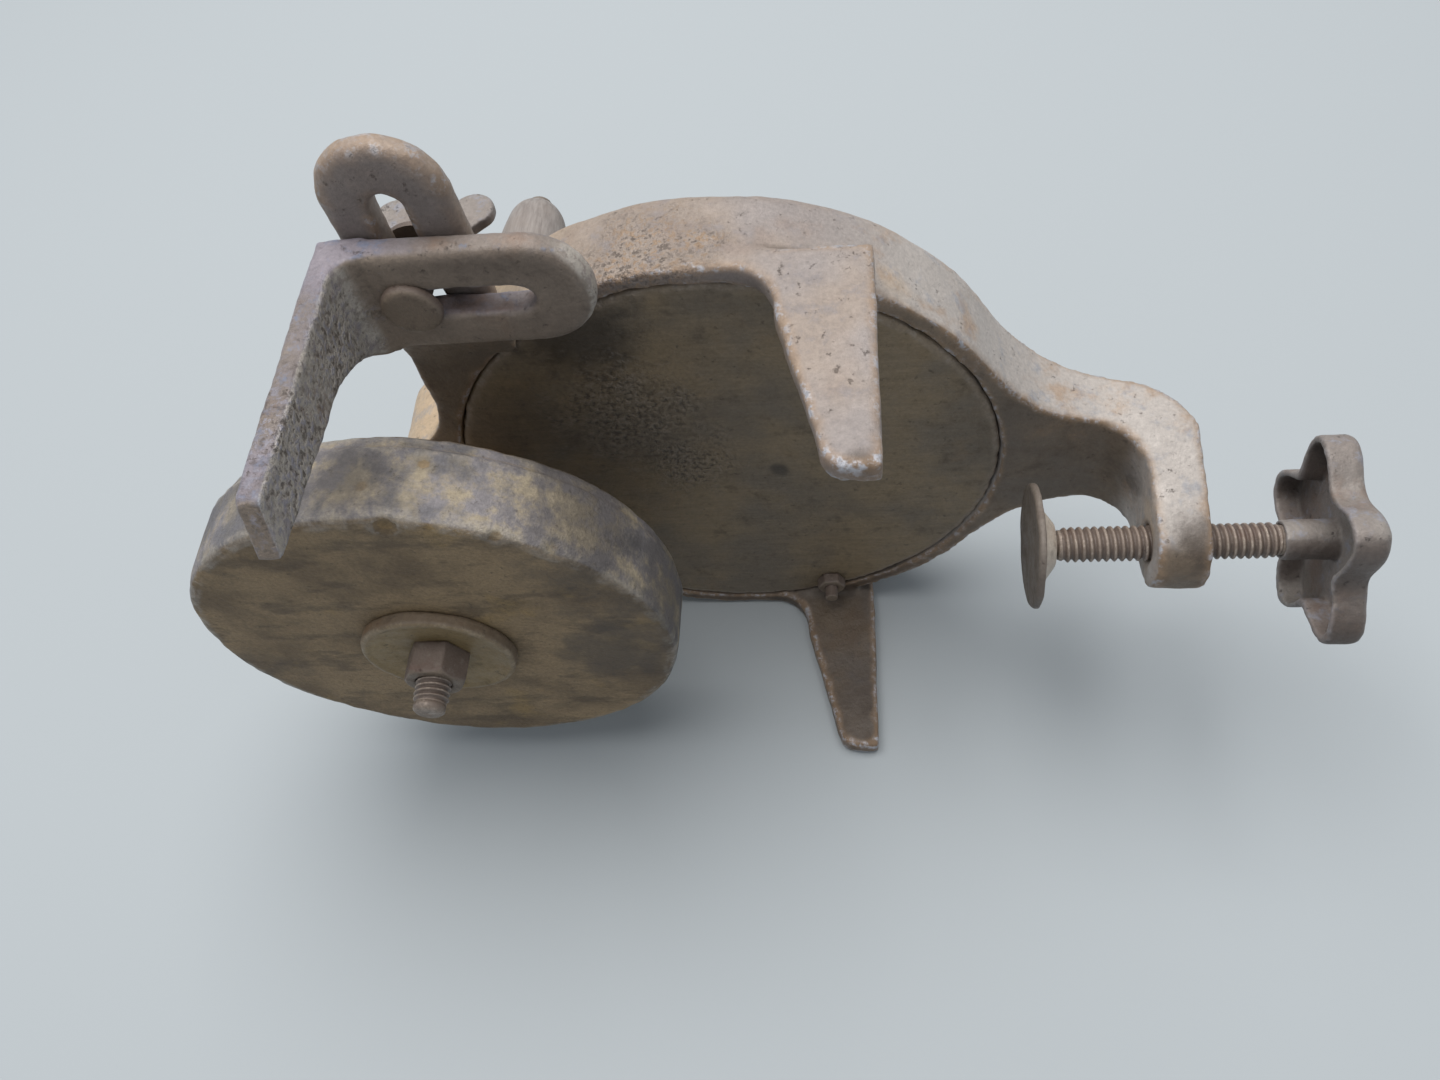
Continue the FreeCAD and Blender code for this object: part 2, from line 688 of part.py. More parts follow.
def handle_grip():
    """Turned wooden grip with a belly and a domed end, loose on its bolt."""
    belly = grip_start + grip_length * grip_belly
    shoulder = grip_start + grip_length * grip_shoulder
    head_clear = grip_end - handle_head_height - apart
    head_seat = handle_head_radius + apart
    steps = [(grip_neck - grip_neck_round, grip_start), (grip_neck, grip_start + grip_neck_round),
             ((grip_radius, belly), (grip_radius - grip_shoulder_inset, shoulder)),
             ((grip_radius - grip_dome_inset, shoulder + grip_dome_rise), (head_seat, head_clear)),
             (grip_bore, head_clear), (grip_bore, grip_start)]
    return turned_y(grip_x, grip_height, (grip_bore, grip_start), steps)


# Idler

def idler_stud():
    head_start = front_gear_start - gear_gap + apart
    shoulder = cavity_back - seat
    end = case_depth + stud_boss_length + stud_nut_height + stud_stand
    return rod_y(0, idler_height, stud_head_radius, head_start, head_start + stud_head_height).fuse(
        [rod_y(0, idler_height, stud_radius, head_start, shoulder),
         rod_y(0, idler_height, stud_thread_radius, head_start, end)])


def idler_stud_nut():
    start = case_depth + stud_boss_length + seat
    nut = hexagon_y(0, idler_height, stud_nut_flats, start, start + stud_nut_height)
    return nut.cut(rod_y(0, idler_height, stud_thread_radius + fixed_fit, 0, grip_end))


def idler_pinion():
    """Small gear whose hub carries the large idler gear."""
    bore = stud_radius + idler_bush_wall + fixed_fit
    hub = rod_y(0, idler_height, idler_hub_radius, idler_hub_start, rear_gear_start)
    teeth = gear(idler_height, idler_pinion_teeth, True, rear_gear_start - plane_gap / 2, rear_gear_end)
    return teeth.fuse(hub).cut(rod_y(0, idler_height, bore, 0, case_depth))


def idler_gear():
    return web_gear(idler_height, idler_teeth, False, front_gear_start, front_gear_end,
                    idler_hub_radius + idler_gear_hub_wall, front_gear_start, idler_hub_radius + fixed_fit)


def idler_bush():
    return bush(idler_height, stud_radius + running, idler_bush_wall - running,
                idler_hub_start, rear_gear_end)


# Spindle and wheel

def spindle():
    shoulder = wheel_front - edge_break
    body = rod_y(0, spindle_height, spindle_radius, -shoulder, spindle_rear - plug_neck - apart)
    core_radius = thread_radius - thread_depth
    core = rod_y(0, spindle_height, core_radius, -spindle_end, -shoulder)
    tip = rod_y(0, spindle_height, thread_radius - spindle_tip_inset, -spindle_end,
                -spindle_end + spindle_tip_length)
    turns = int(wheel_thread_length / wheel_pitch)
    base = Vector(0, -spindle_end + spindle_tip_length, spindle_height)
    thread = ridge(wheel_pitch, turns, thread_radius, thread_depth, Vector(0, 1, 0), base)
    pin_hole = rod_z(0, pinion_pin_y, pinion_pin_radius + fixed_fit,
                     spindle_height - spindle_radius, spindle_height + spindle_radius)
    return body.fuse([core, tip, thread]).cut(pin_hole)


def spindle_pinion():
    hub = rod_y(0, spindle_height, pinion_hub_radius, front_gear_end, rear_gear_end)
    teeth = gear(spindle_height, spindle_teeth, True, front_gear_start, front_gear_end)
    pin_hole = rod_z(0, pinion_pin_y, pinion_pin_radius + fixed_fit,
                     spindle_height - lug_radius, spindle_height + lug_radius)
    bore = rod_y(0, spindle_height, spindle_radius + fixed_fit, 0, case_depth)
    return teeth.fuse(hub).cut([bore, pin_hole])


def pinion_pin():
    return rod_z(0, pinion_pin_y, pinion_pin_radius,
                 spindle_height - pinion_hub_radius, spindle_height + pinion_hub_radius)


def inner_flange():
    face = -wheel_back + seat
    back = face + inner_flange_thickness
    hub_end = -front_boss_reach - apart
    bore = spindle_radius + fixed_fit
    shape = [(bore, face), (flange_radius, face), (flange_radius, back - inner_flange_bevel),
             (flange_radius - inner_flange_bevel, back), (inner_flange_hub, back),
             (inner_flange_hub, hub_end), (bore, hub_end)]
    return turned_y(0, spindle_height, shape[0], polygon(shape))


def grinding_wheel():
    stone = rod_y(0, spindle_height, wheel_radius, -wheel_front, -wheel_back)
    stone = rounded(stone, wheel_round, lambda c, e: len(e.Vertexes) == 1)
    bore = spindle_radius + wheel_bush_wall
    return stone.cut(rod_y(0, spindle_height, bore, -wheel_front, -wheel_back))


def wheel_bush():
    outer = spindle_radius + wheel_bush_wall - fixed_fit
    inner = spindle_radius + fixed_fit
    ring = rod_y(0, spindle_height, outer, -wheel_front + apart, -wheel_back - apart)
    return ring.cut(rod_y(0, spindle_height, inner, -wheel_front, -wheel_back))


def outer_flange():
    """Dished washer that presses on the wheel with its edge."""
    back = -wheel_front - seat
    face = -flange_face
    bore = spindle_radius + fixed_fit
    shape = [(bore, back - flange_relief), (flange_dish_outer, back - flange_relief),
             (flange_dish_outer, back), (flange_radius, back), (flange_radius, face + edge_break),
             (flange_radius - edge_break, face),
             (flange_dish_outer, face), (flange_dish_inner, -nut_seat), (bore, -nut_seat)]
    return turned_y(0, spindle_height, shape[0], polygon(shape))


def wheel_nut():
    nut = hexagon_y(0, spindle_height, wheel_nut_flats, -nut_seat - seat, -nut_face)
    return nut.cut(rod_y(0, spindle_height, thread_radius + fixed_fit, -spindle_end, 0))


# Clamp

def clamp_pad():
    """Round pad with a hollow neck that holds the screw's button."""
    top = -pad_top_depth
    neck = top - pad_disc - pad_cone_height
    floor = top - pad_disc - button_height - 2 * running
    hole = button_neck_radius + running
    shape = [(0, top), (pad_radius - pad_edge, top), (pad_radius, top - pad_edge),
             (pad_radius, top - pad_disc), (pad_cone_radius, top - pad_disc - pad_step),
             (pad_neck_radius, neck), (hole, neck), (hole, floor),
             (button_radius + running, floor), (button_radius + running, top - pad_disc),
             (0, top - pad_disc)]
    return turned_z(0, -screw_reach, shape[0], polygon(shape))


def clamp_screw():
    button_top = -pad_top_depth - pad_disc - running
    core_radius = thread_radius - thread_depth
    core = rod_z(0, -screw_reach, core_radius, -clamp_thread_end - knob_hub_radius, -clamp_thread_top)
    neck = rod_z(0, -screw_reach, button_neck_radius, -clamp_thread_top, button_top)
    button = rod_z(0, -screw_reach, button_radius, button_top - button_height, button_top)
    stem_end = knob_mouth_depth + knob_depth - knob_wall / 2
    stem = rod_z(0, -screw_reach, core_radius, -stem_end, -clamp_thread_end)
    turns = int((clamp_thread_end - clamp_thread_top) / clamp_pitch) - 1
    base = Vector(0, -screw_reach, -clamp_thread_end + clamp_pitch / 2)
    thread = ridge(clamp_pitch, turns, thread_radius, thread_depth, Vector(0, 0, 1), base)
    pin_hole = pin_along(knob_pin_radius + fixed_fit, 2 * knob_hub_radius)
    return core.fuse(thread).fuse([neck, button, stem]).cut(pin_hole)


def pin_along(radius, length):
    """Bar across the knob's hub, level with its mouth."""
    depth = (clamp_thread_end + knob_mouth_depth) / 2
    start = Vector(-length / 2, -screw_reach, -depth)
    return Part.makeCylinder(radius, length, start, Vector(1, 0, 0))


def star(inset, low, high):
    """Lobed bar with a smooth wavy side."""
    points = []
    for step in range(knob_outline_points):
        angle = 2 * math.pi * step / knob_outline_points
        radius = knob_mean_radius - inset + knob_lobe * math.cos(knob_lobes * (angle - knob_angle))
        points.append(Vector(radius * math.cos(angle), -screw_reach + radius * math.sin(angle), low))
    curve = Part.BSplineCurve()
    curve.interpolate(points, PeriodicFlag=True)
    return Part.Face(Part.Wire(curve.toShape())).extrude(Vector(0, 0, high - low))


def clamp_knob():
    """Hollow star knob, open towards the clamp, with a hub down its middle."""
    mouth = -knob_mouth_depth
    floor = mouth - knob_depth
    outer = star(0, floor, mouth)
    outer = rounded(outer, knob_crown, lambda c, e: e.BoundBox.ZMax < floor + apart)
    inner = star(knob_wall, floor + knob_wall, mouth)
    hub = rod_z(0, -screw_reach, knob_hub_radius, floor + knob_wall / 2, -clamp_thread_end - apart)
    bore_end = knob_mouth_depth + knob_depth - knob_wall / 2 + fixed_fit
    bore = rod_z(0, -screw_reach, thread_radius - thread_depth + fixed_fit, -bore_end, -clamp_thread_end)
    pin_hole = pin_along(knob_pin_radius + fixed_fit, 2 * knob_hub_radius)
    return outer.cut(inner).fuse(hub).cut([bore, pin_hole])


def knob_pin():
    return pin_along(knob_pin_radius, 2 * knob_hub_radius - apart)


# Tool rest

def tool_rest():
    """Slotted leg in front of the rest arm, with a shelf that reaches past the wheel."""
    left, right = leg_centre - leg_half, leg_centre + leg_half
    bottom = leg_bottom + leg_half
    leg = bar_y((left, bottom), [((leg_centre, leg_bottom), (right, bottom)), (right, shelf_top),
                                 (left, shelf_top), (left, bottom)], -leg_front, -leg_back)
    leg = rounded(leg, leg_round,
                  lambda c, e: e.BoundBox.YLength < apart and e.BoundBox.ZMin < shelf_bottom)
    flare = (shelf_waist - left) * shelf_flare_in
    corner = shelf_corner_round
    shelf = bar_z((right, -leg_back), [(shelf_outer, -shelf_end_outer), (shelf_end_x, -shelf_end_inner),
                                       (shelf_waist, -shelf_flare_start),
                                       ((shelf_waist - flare, -(shelf_flare_start + shelf_flare_end) / 2),
                                        (left, -shelf_flare_end)), (left, -leg_back), (right, -leg_back)],
                  shelf_bottom - corner, shelf_top)
    inset = corner * (1 - math.sqrt(0.5))
    side = bar_x((-leg_back, shelf_top),
                 [(-shelf_end_inner, shelf_top), (-shelf_end_inner, shelf_bottom),
                  (-leg_front - corner, shelf_bottom),
                  ((-leg_front - inset, shelf_bottom - inset), (-leg_front, shelf_bottom - corner)),
                  (-leg_back, shelf_bottom - corner), (-leg_back, shelf_top)], left, shelf_outer)
    slot_top = bolt_height + slot_width / 2 + running
    slot = slot_y(leg_centre, (slot_top + leg_slot_bottom) / 2, slot_width / 2,
                  (slot_top - leg_slot_bottom) / 2, slot_width / 2, -leg_front - apart, 0)
    return leg.fuse(shelf.common(side)).cut(slot)


def rest_bolt():
    """Round-headed bolt with a square neck that fits the leg's slot."""
    face = -leg_front - seat
    head = rod_y(leg_centre, bolt_height, bolt_head_radius, face - bolt_head_height, face)
    head = rounded(head, bolt_head_height * head_round,
                   lambda c, e: c.y < face - apart and len(e.Vertexes) == 1)
    half = bolt_square / 2
    neck = block((leg_centre - half, leg_centre + half), (face, -leg_back - apart),
                 (bolt_height - half, bolt_height + half))
    neck = neck.common(rod_y(leg_centre, bolt_height, bolt_square_round, face, 0))
    return head.fuse([neck, rod_y(leg_centre, bolt_height, bolt_radius, face, bolt_end)])


def rest_washer():
    ring = rod_y(leg_centre, bolt_height, washer_radius, washer_start, washer_start + washer_thickness)
    return ring.cut(rod_y(leg_centre, bolt_height, bolt_radius + running, 0, case_depth))


def wing_nut():
    """Wing nut with upright wings that lean outwards."""
    end = wing_start + wing_boss_height
    shape = [(0, wing_start), (wing_boss_radius, wing_start), (wing_boss_radius * wing_boss_taper, end),
             (0, end)]
    boss = turned_y(leg_centre, bolt_height, shape[0], polygon(shape))
    half = wing_thickness / 2
    wings = []
    for side in (1, -1):
        tip = (wing_tip_y, bolt_height + side * (wing_span - wing_tip_radius))
        join = (wing_tip_radius * wing_join[0], side * wing_tip_radius * wing_join[1])
        points = [(wing_start + wing_root, bolt_height),
                  (wing_start + wing_root, bolt_height + side * wing_root_half),
                  (tip[0] - join[0], tip[1] + join[1]), (tip[0] + join[0], tip[1] - join[1]),
                  (end - wing_root, bolt_height)]
        plate = bar_x(points[0], polygon(points), leg_centre - half, leg_centre + half)
        disc = Part.makeCylinder(wing_tip_radius, wing_thickness, Vector(leg_centre - half, tip[0], tip[1]),
                                 Vector(1, 0, 0))
        wings += [plate, disc]
    return boss.fuse(wings).cut(rod_y(leg_centre, bolt_height, bolt_radius + running, 0, 2 * case_depth))


sub_parts = {
    "gear_case": gear_case(),
    "case_cover": case_cover(),
    "cover_studs": cover_studs(),
    "cover_nuts": cover_nuts(),
    "crank_bush": bush(crank_height, shaft_radius + running, crank_bush_wall - running,
                       cavity_back, crank_rear),
    "spindle_bush_front": bush(spindle_height, spindle_radius + running, bush_wall - running,
                               -front_boss_reach, cover_back),
    "spindle_bush_rear": spindle_bush_rear(),
    "idler_stud": idler_stud(),
    "idler_stud_nut": idler_stud_nut(),
    "crank_shaft": crank_shaft(),
    "crank_gear": crank_gear(),
    "gear_key": gear_key(),
    "crank_arm": crank_arm(),
    "crank_washer": crank_washer(),
    "crank_nut": crank_nut(),
    "handle_bolt": handle_bolt(),
    "handle_grip": handle_grip(),
    "idler_gear": idler_gear(),
    "idler_pinion": idler_pinion(),
    "idler_bush": idler_bush(),
    "spindle": spindle(),
    "spindle_pinion": spindle_pinion(),
    "pinion_pin": pinion_pin(),
    "inner_flange": inner_flange(),
    "wheel_bush": wheel_bush(),
    "grinding_wheel": grinding_wheel(),
    "outer_flange": outer_flange(),
    "wheel_nut": wheel_nut(),
    "clamp_pad": clamp_pad(),
    "clamp_screw": clamp_screw(),
    "clamp_knob": clamp_knob(),
    "knob_pin": knob_pin(),
    "rest_washer": rest_washer(),
    "rest_bolt": rest_bolt(),
    "tool_rest": tool_rest(),
    "wing_nut": wing_nut(),
}

os.makedirs("parts", exist_ok=True)
for name, shape in sub_parts.items():
    shape.exportStep(f"parts/{name}.step")
    box = shape.BoundBox
    print(f"{name:20s} {len(shape.Solids)} solid(s), volume {shape.Volume:10.1f}, valid {shape.isValid()}",
          f"x {box.XMin:.1f}..{box.XMax:.1f} y {box.YMin:.1f}..{box.YMax:.1f}",
          f"z {box.ZMin:.1f}..{box.ZMax:.1f}")
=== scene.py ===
import json
import math

import bmesh
import bpy
import numpy as np
from mathutils import Matrix, Vector, noise


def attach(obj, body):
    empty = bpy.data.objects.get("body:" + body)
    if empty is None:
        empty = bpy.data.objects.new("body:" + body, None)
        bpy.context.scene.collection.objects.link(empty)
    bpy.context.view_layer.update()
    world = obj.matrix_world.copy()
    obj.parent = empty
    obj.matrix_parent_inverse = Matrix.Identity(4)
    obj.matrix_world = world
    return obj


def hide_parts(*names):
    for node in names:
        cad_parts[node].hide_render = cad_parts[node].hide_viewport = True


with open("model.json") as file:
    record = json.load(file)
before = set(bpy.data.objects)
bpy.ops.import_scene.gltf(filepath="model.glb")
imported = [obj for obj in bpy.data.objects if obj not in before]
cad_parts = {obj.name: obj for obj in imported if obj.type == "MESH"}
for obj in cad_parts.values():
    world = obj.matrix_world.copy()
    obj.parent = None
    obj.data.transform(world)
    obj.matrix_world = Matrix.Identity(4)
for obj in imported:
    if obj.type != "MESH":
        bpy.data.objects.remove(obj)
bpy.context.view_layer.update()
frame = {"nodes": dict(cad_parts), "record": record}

# Hand crank bench grinder, an old grey iron casting with a brown patina, laid on its side.
# Sizes are in millimetres here and become metres through MM. +Z is up when it is clamped to a
# bench, the wheel is on the -Y side, the crank on the +Y side and the tool rest on the +X side.
MM = 0.001
UP = Vector((0, 0, 1))

# Axes and edges that the made pieces share with the solids
SPINDLE_Z = 137.25
SCREW_Y = -31.2
ALONG = Vector((0, 1, 0))
WHEEL_FRONT, WHEEL_BACK, WHEEL_RADIUS = -62.4, -33.9, 75.0
WHEEL_BORE = 12.65

# How finely the threads are drawn
RINGS_PER_TURN = 10


# Meshes

def new_piece(name, mesh):
    piece = bpy.data.objects.new(name, mesh)
    bpy.context.scene.collection.objects.link(piece)
    return piece


def settle(piece):
    """Turns what the modifiers make into the piece's own plain mesh."""
    seen = piece.evaluated_get(bpy.context.evaluated_depsgraph_get())
    mesh = bpy.data.meshes.new_from_object(seen)
    piece.modifiers.clear()
    piece.data = mesh
    for face in mesh.polygons:
        face.use_smooth = True
    return piece


def skin(name, nodes, grain, passes, softer=None):
    """Skin round solids with its edges rounded, as a casting or a worn forging has them.

    softer is (low corner, high corner, passes) of a box where the skin is rounded further.
    """
    bm = bmesh.new()
    for node in nodes:
        bm.from_mesh(frame["nodes"][node].data)
    bmesh.ops.remove_doubles(bm, verts=bm.verts, dist=1e-6)
    mesh = bpy.data.meshes.new(name)
    bm.to_mesh(mesh)
    bm.free()
    piece = new_piece(name, mesh)
    remesh = piece.modifiers.new("skin", "REMESH")
    remesh.mode = "VOXEL"
    remesh.voxel_size = grain * MM
    smooth = piece.modifiers.new("rounding", "SMOOTH")
    smooth.factor = 0.5
    smooth.iterations = passes
    settle(piece)
    if softer:
        low, high, more = softer
        spots = read(piece, "co") / MM
        inside = np.all((spots > low) & (spots < high), axis=1)
        group = piece.vertex_groups.new(name="softer")
        group.add([int(i) for i in np.flatnonzero(inside)], 1.0, "REPLACE")
        smooth = piece.modifiers.new("rounding", "SMOOTH")
        smooth.factor = 0.5
        smooth.iterations = more
        smooth.vertex_group = "softer"
        settle(piece)
    return piece


def read(piece, key):
    """The piece's vertices as rows of three numbers: co or normal."""
    values = np.empty(len(piece.data.vertices) * 3)
    piece.data.vertices.foreach_get(key, values)
    return values.reshape(-1, 3)


def shift_along(piece, rise):
    """Moves each point along its normal by its own number of millimetres."""
    spots = read(piece, "co") + read(piece, "normal") * rise[:, None] * MM
    piece.data.vertices.foreach_set("co", spots.ravel())
    piece.data.update()
    return piece


def waves_at(spots, waves, seed):
    """Sum of noise waves, each (height, length) in millimetres."""
    shift = Vector((seed * 3.7, seed * 1.3, seed * 7.1))
    return np.array([sum(height * noise.noise(Vector(spot) / (length * MM) + shift)
                         for height, length in waves) for spot in spots])


def undulate(piece, waves, seed):
    return shift_along(piece, waves_at(read(piece, "co"), waves, seed))


def standing_out(piece, passes):
    """How far each point stands out of its smoothed surroundings, in millimetres."""
    spots = read(piece, "co")
    count = len(spots)
    ends = np.empty(len(piece.data.edges) * 2, dtype=np.int32)
    piece.data.edges.foreach_get("vertices", ends)
    first, second = ends.reshape(-1, 2).T
    links = np.maximum(np.bincount(ends, minlength=count), 1)
    calm = spots.copy()
    for _ in range(passes):
        calm = np.stack([np.bincount(first, calm[second, axis], count)
                         + np.bincount(second, calm[first, axis], count) for axis in range(3)], 1)
        calm /= links[:, None]
    return ((spots - calm) * read(piece, "normal")).sum(axis=1) / MM


def wear(piece, depth, length, seed, passes=6):
    """Uneven wear: takes up to depth millimetres off the edges that stand out."""
    edge = np.clip(standing_out(piece, passes) / 0.5, 0, 1)
    waves = waves_at(read(piece, "co"), ((1.0, length), (0.6, length / 3)), seed)
    bite = np.clip(waves + 0.2, 0, 1)
    return shift_along(piece, -edge * bite * depth)


def chip(piece, places):
    """Dents at given places, each (place, radius, depth) in millimetres."""
    spots = read(piece, "co") / MM
    rise = np.zeros(len(spots))
    for place, radius, depth in places:
        away = np.linalg.norm(spots - np.array(place), axis=1) / radius
        rise -= depth * np.clip(1 - away ** 2, 0, 1)
    return shift_along(piece, rise)


def turned(name, profile, place, axis, steps):
    """Closed profile of (radius, along) points turned about an axis through place."""
    mesh = bpy.data.meshes.new(name)
    turn = UP.rotation_difference(axis)
    points = []
    for radius, along in profile:
        for step in range(steps):
            angle = 2 * math.pi * step / steps
            local = Vector((radius * math.cos(angle), radius * math.sin(angle), along))
            points.append((Vector(place) + turn @ local) * MM)
    rows = len(profile)
    faces = []
    for row in range(rows):
        following = (row + 1) % rows
        for step in range(steps):
            beside = (step + 1) % steps
            faces.append((row * steps + step, row * steps + beside,
                          following * steps + beside, following * steps + step))
    mesh.from_pydata(points, [], faces)
    bm = bmesh.new()
    bm.from_mesh(mesh)
    bmesh.ops.remove_doubles(bm, verts=bm.verts, dist=1e-7)
    bmesh.ops.recalc_face_normals(bm, faces=bm.faces)
    bm.to_mesh(mesh)
    bm.free()
    for face in mesh.polygons:
        face.use_smooth = True
    return new_piece(name, mesh)


def refine(corners, step):
    """Corner points of a closed profile with points between them, at most step apart."""
    points = []
    for at, following in zip(corners, corners[1:] + corners[:1]):
        count = max(1, math.ceil(math.dist(at, following) / step))
        for part in range(count):
            share = part / count
            points.append((at[0] + (following[0] - at[0]) * share,
                           at[1] + (following[1] - at[1]) * share))
    return points


# Materials

def srgb(code):
    """Linear colour of a #rrggbb value."""
    parts = [int(code[at:at + 2], 16) / 255 for at in (1, 3, 5)]
    return tuple(c / 12.92 if c <= 0.04045 else ((c + 0.055) / 1.055) ** 2.4
                 for c in parts) + (1.0,)


def add(tree, kind, settings=None, inputs=None):
    """Adds a node, sets its settings and fills or links its inputs."""
    node = tree.nodes.new(kind)
    for key, value in (settings or {}).items():
        setattr(node, key, value)
    for key, value in (inputs or {}).items():
        if isinstance(value, bpy.types.NodeSocket):
            tree.links.new(value, node.inputs[key])
        else:
            node.inputs[key].default_value = value
    return node


def per_mm(length):
    """Texture scale at which one wave is that many millimetres long."""
    return 1000 / length


def start_material(name):
    material = bpy.data.materials.new(name)
    material.use_nodes = True
    tree = material.node_tree
    tree.nodes.clear()
    return material, tree


def cloud(tree, here, length, detail=4.0, rough=0.6, stretch=(1, 1, 1)):
    """Noise whose largest waves are that many millimetres long."""
    moved = add(tree, "ShaderNodeMapping", {}, {"Vector": here, "Scale": stretch,
                                               "Location": (length * 0.013, -length * 0.009, 0.02)})
    return add(tree, "ShaderNodeTexNoise", {}, {"Vector": moved.outputs[0], "Scale": per_mm(length),
                                               "Detail": detail, "Roughness": rough}).outputs[0]


def ramp(tree, value, low, high, start=0.0, end=1.0):
    return add(tree, "ShaderNodeMapRange", {"interpolation_type": "SMOOTHSTEP"},
               {0: value, 1: low, 2: high, 3: start, 4: end}).outputs[0]


def blend(tree, share, first, second):
    return add(tree, "ShaderNodeMix", {"data_type": "RGBA"},
               {0: share, 6: first, 7: second}).outputs[2]


def maths(tree, kind, first, second):
    return add(tree, "ShaderNodeMath", {"operation": kind}, {0: first, 1: second}).outputs[0]


def speckle(tree, colour, value, strength):
    """Lightens and darkens a colour by a fine noise."""
    level = add(tree, "ShaderNodeMapRange", {},
                {0: value, 1: 0.3, 2: 0.7, 3: 1 - strength, 4: 1 + strength}).outputs[0]
    return add(tree, "ShaderNodeHueSaturation", {}, {"Color": colour, "Value": level}).outputs[0]


def near(tree, here, patches, ragged):
    """Mask of ragged patches, each (place, radius) in millimetres."""
    mask = 0.0
    for place, radius in patches:
        away = add(tree, "ShaderNodeVectorMath", {"operation": "DISTANCE"},
                   {0: here, 1: Vector(place) * MM})
        wobble = maths(tree, "MULTIPLY", ragged, radius * MM * 2.4)
        inside = ramp(tree, maths(tree, "ADD", away.outputs["Value"], wobble),
                      radius * MM * 2.6, radius * MM * 1.5)
        mask = maths(tree, "MAXIMUM", inside, mask)
    return mask


def bumps(tree, layers):
    """Chain of bumps, each (height, millimetres); a negative size sinks the surface."""
    normal = None
    for height, size in layers:
        inputs = {"Height": height, "Distance": abs(size) * MM, "Strength": 1.0}
        if normal:
            inputs["Normal"] = normal
        normal = add(tree, "ShaderNodeBump", {"invert": size < 0}, inputs).outputs[0]
    return normal


def finish(tree, colour, roughness, metallic, normal):
    shader = add(tree, "ShaderNodeBsdfPrincipled", {},
                 {"Base Color": colour, "Roughness": roughness, "Metallic": metallic,
                  "Normal": normal})
    add(tree, "ShaderNodeOutputMaterial", {}, {"Surface": shader.outputs[0]})


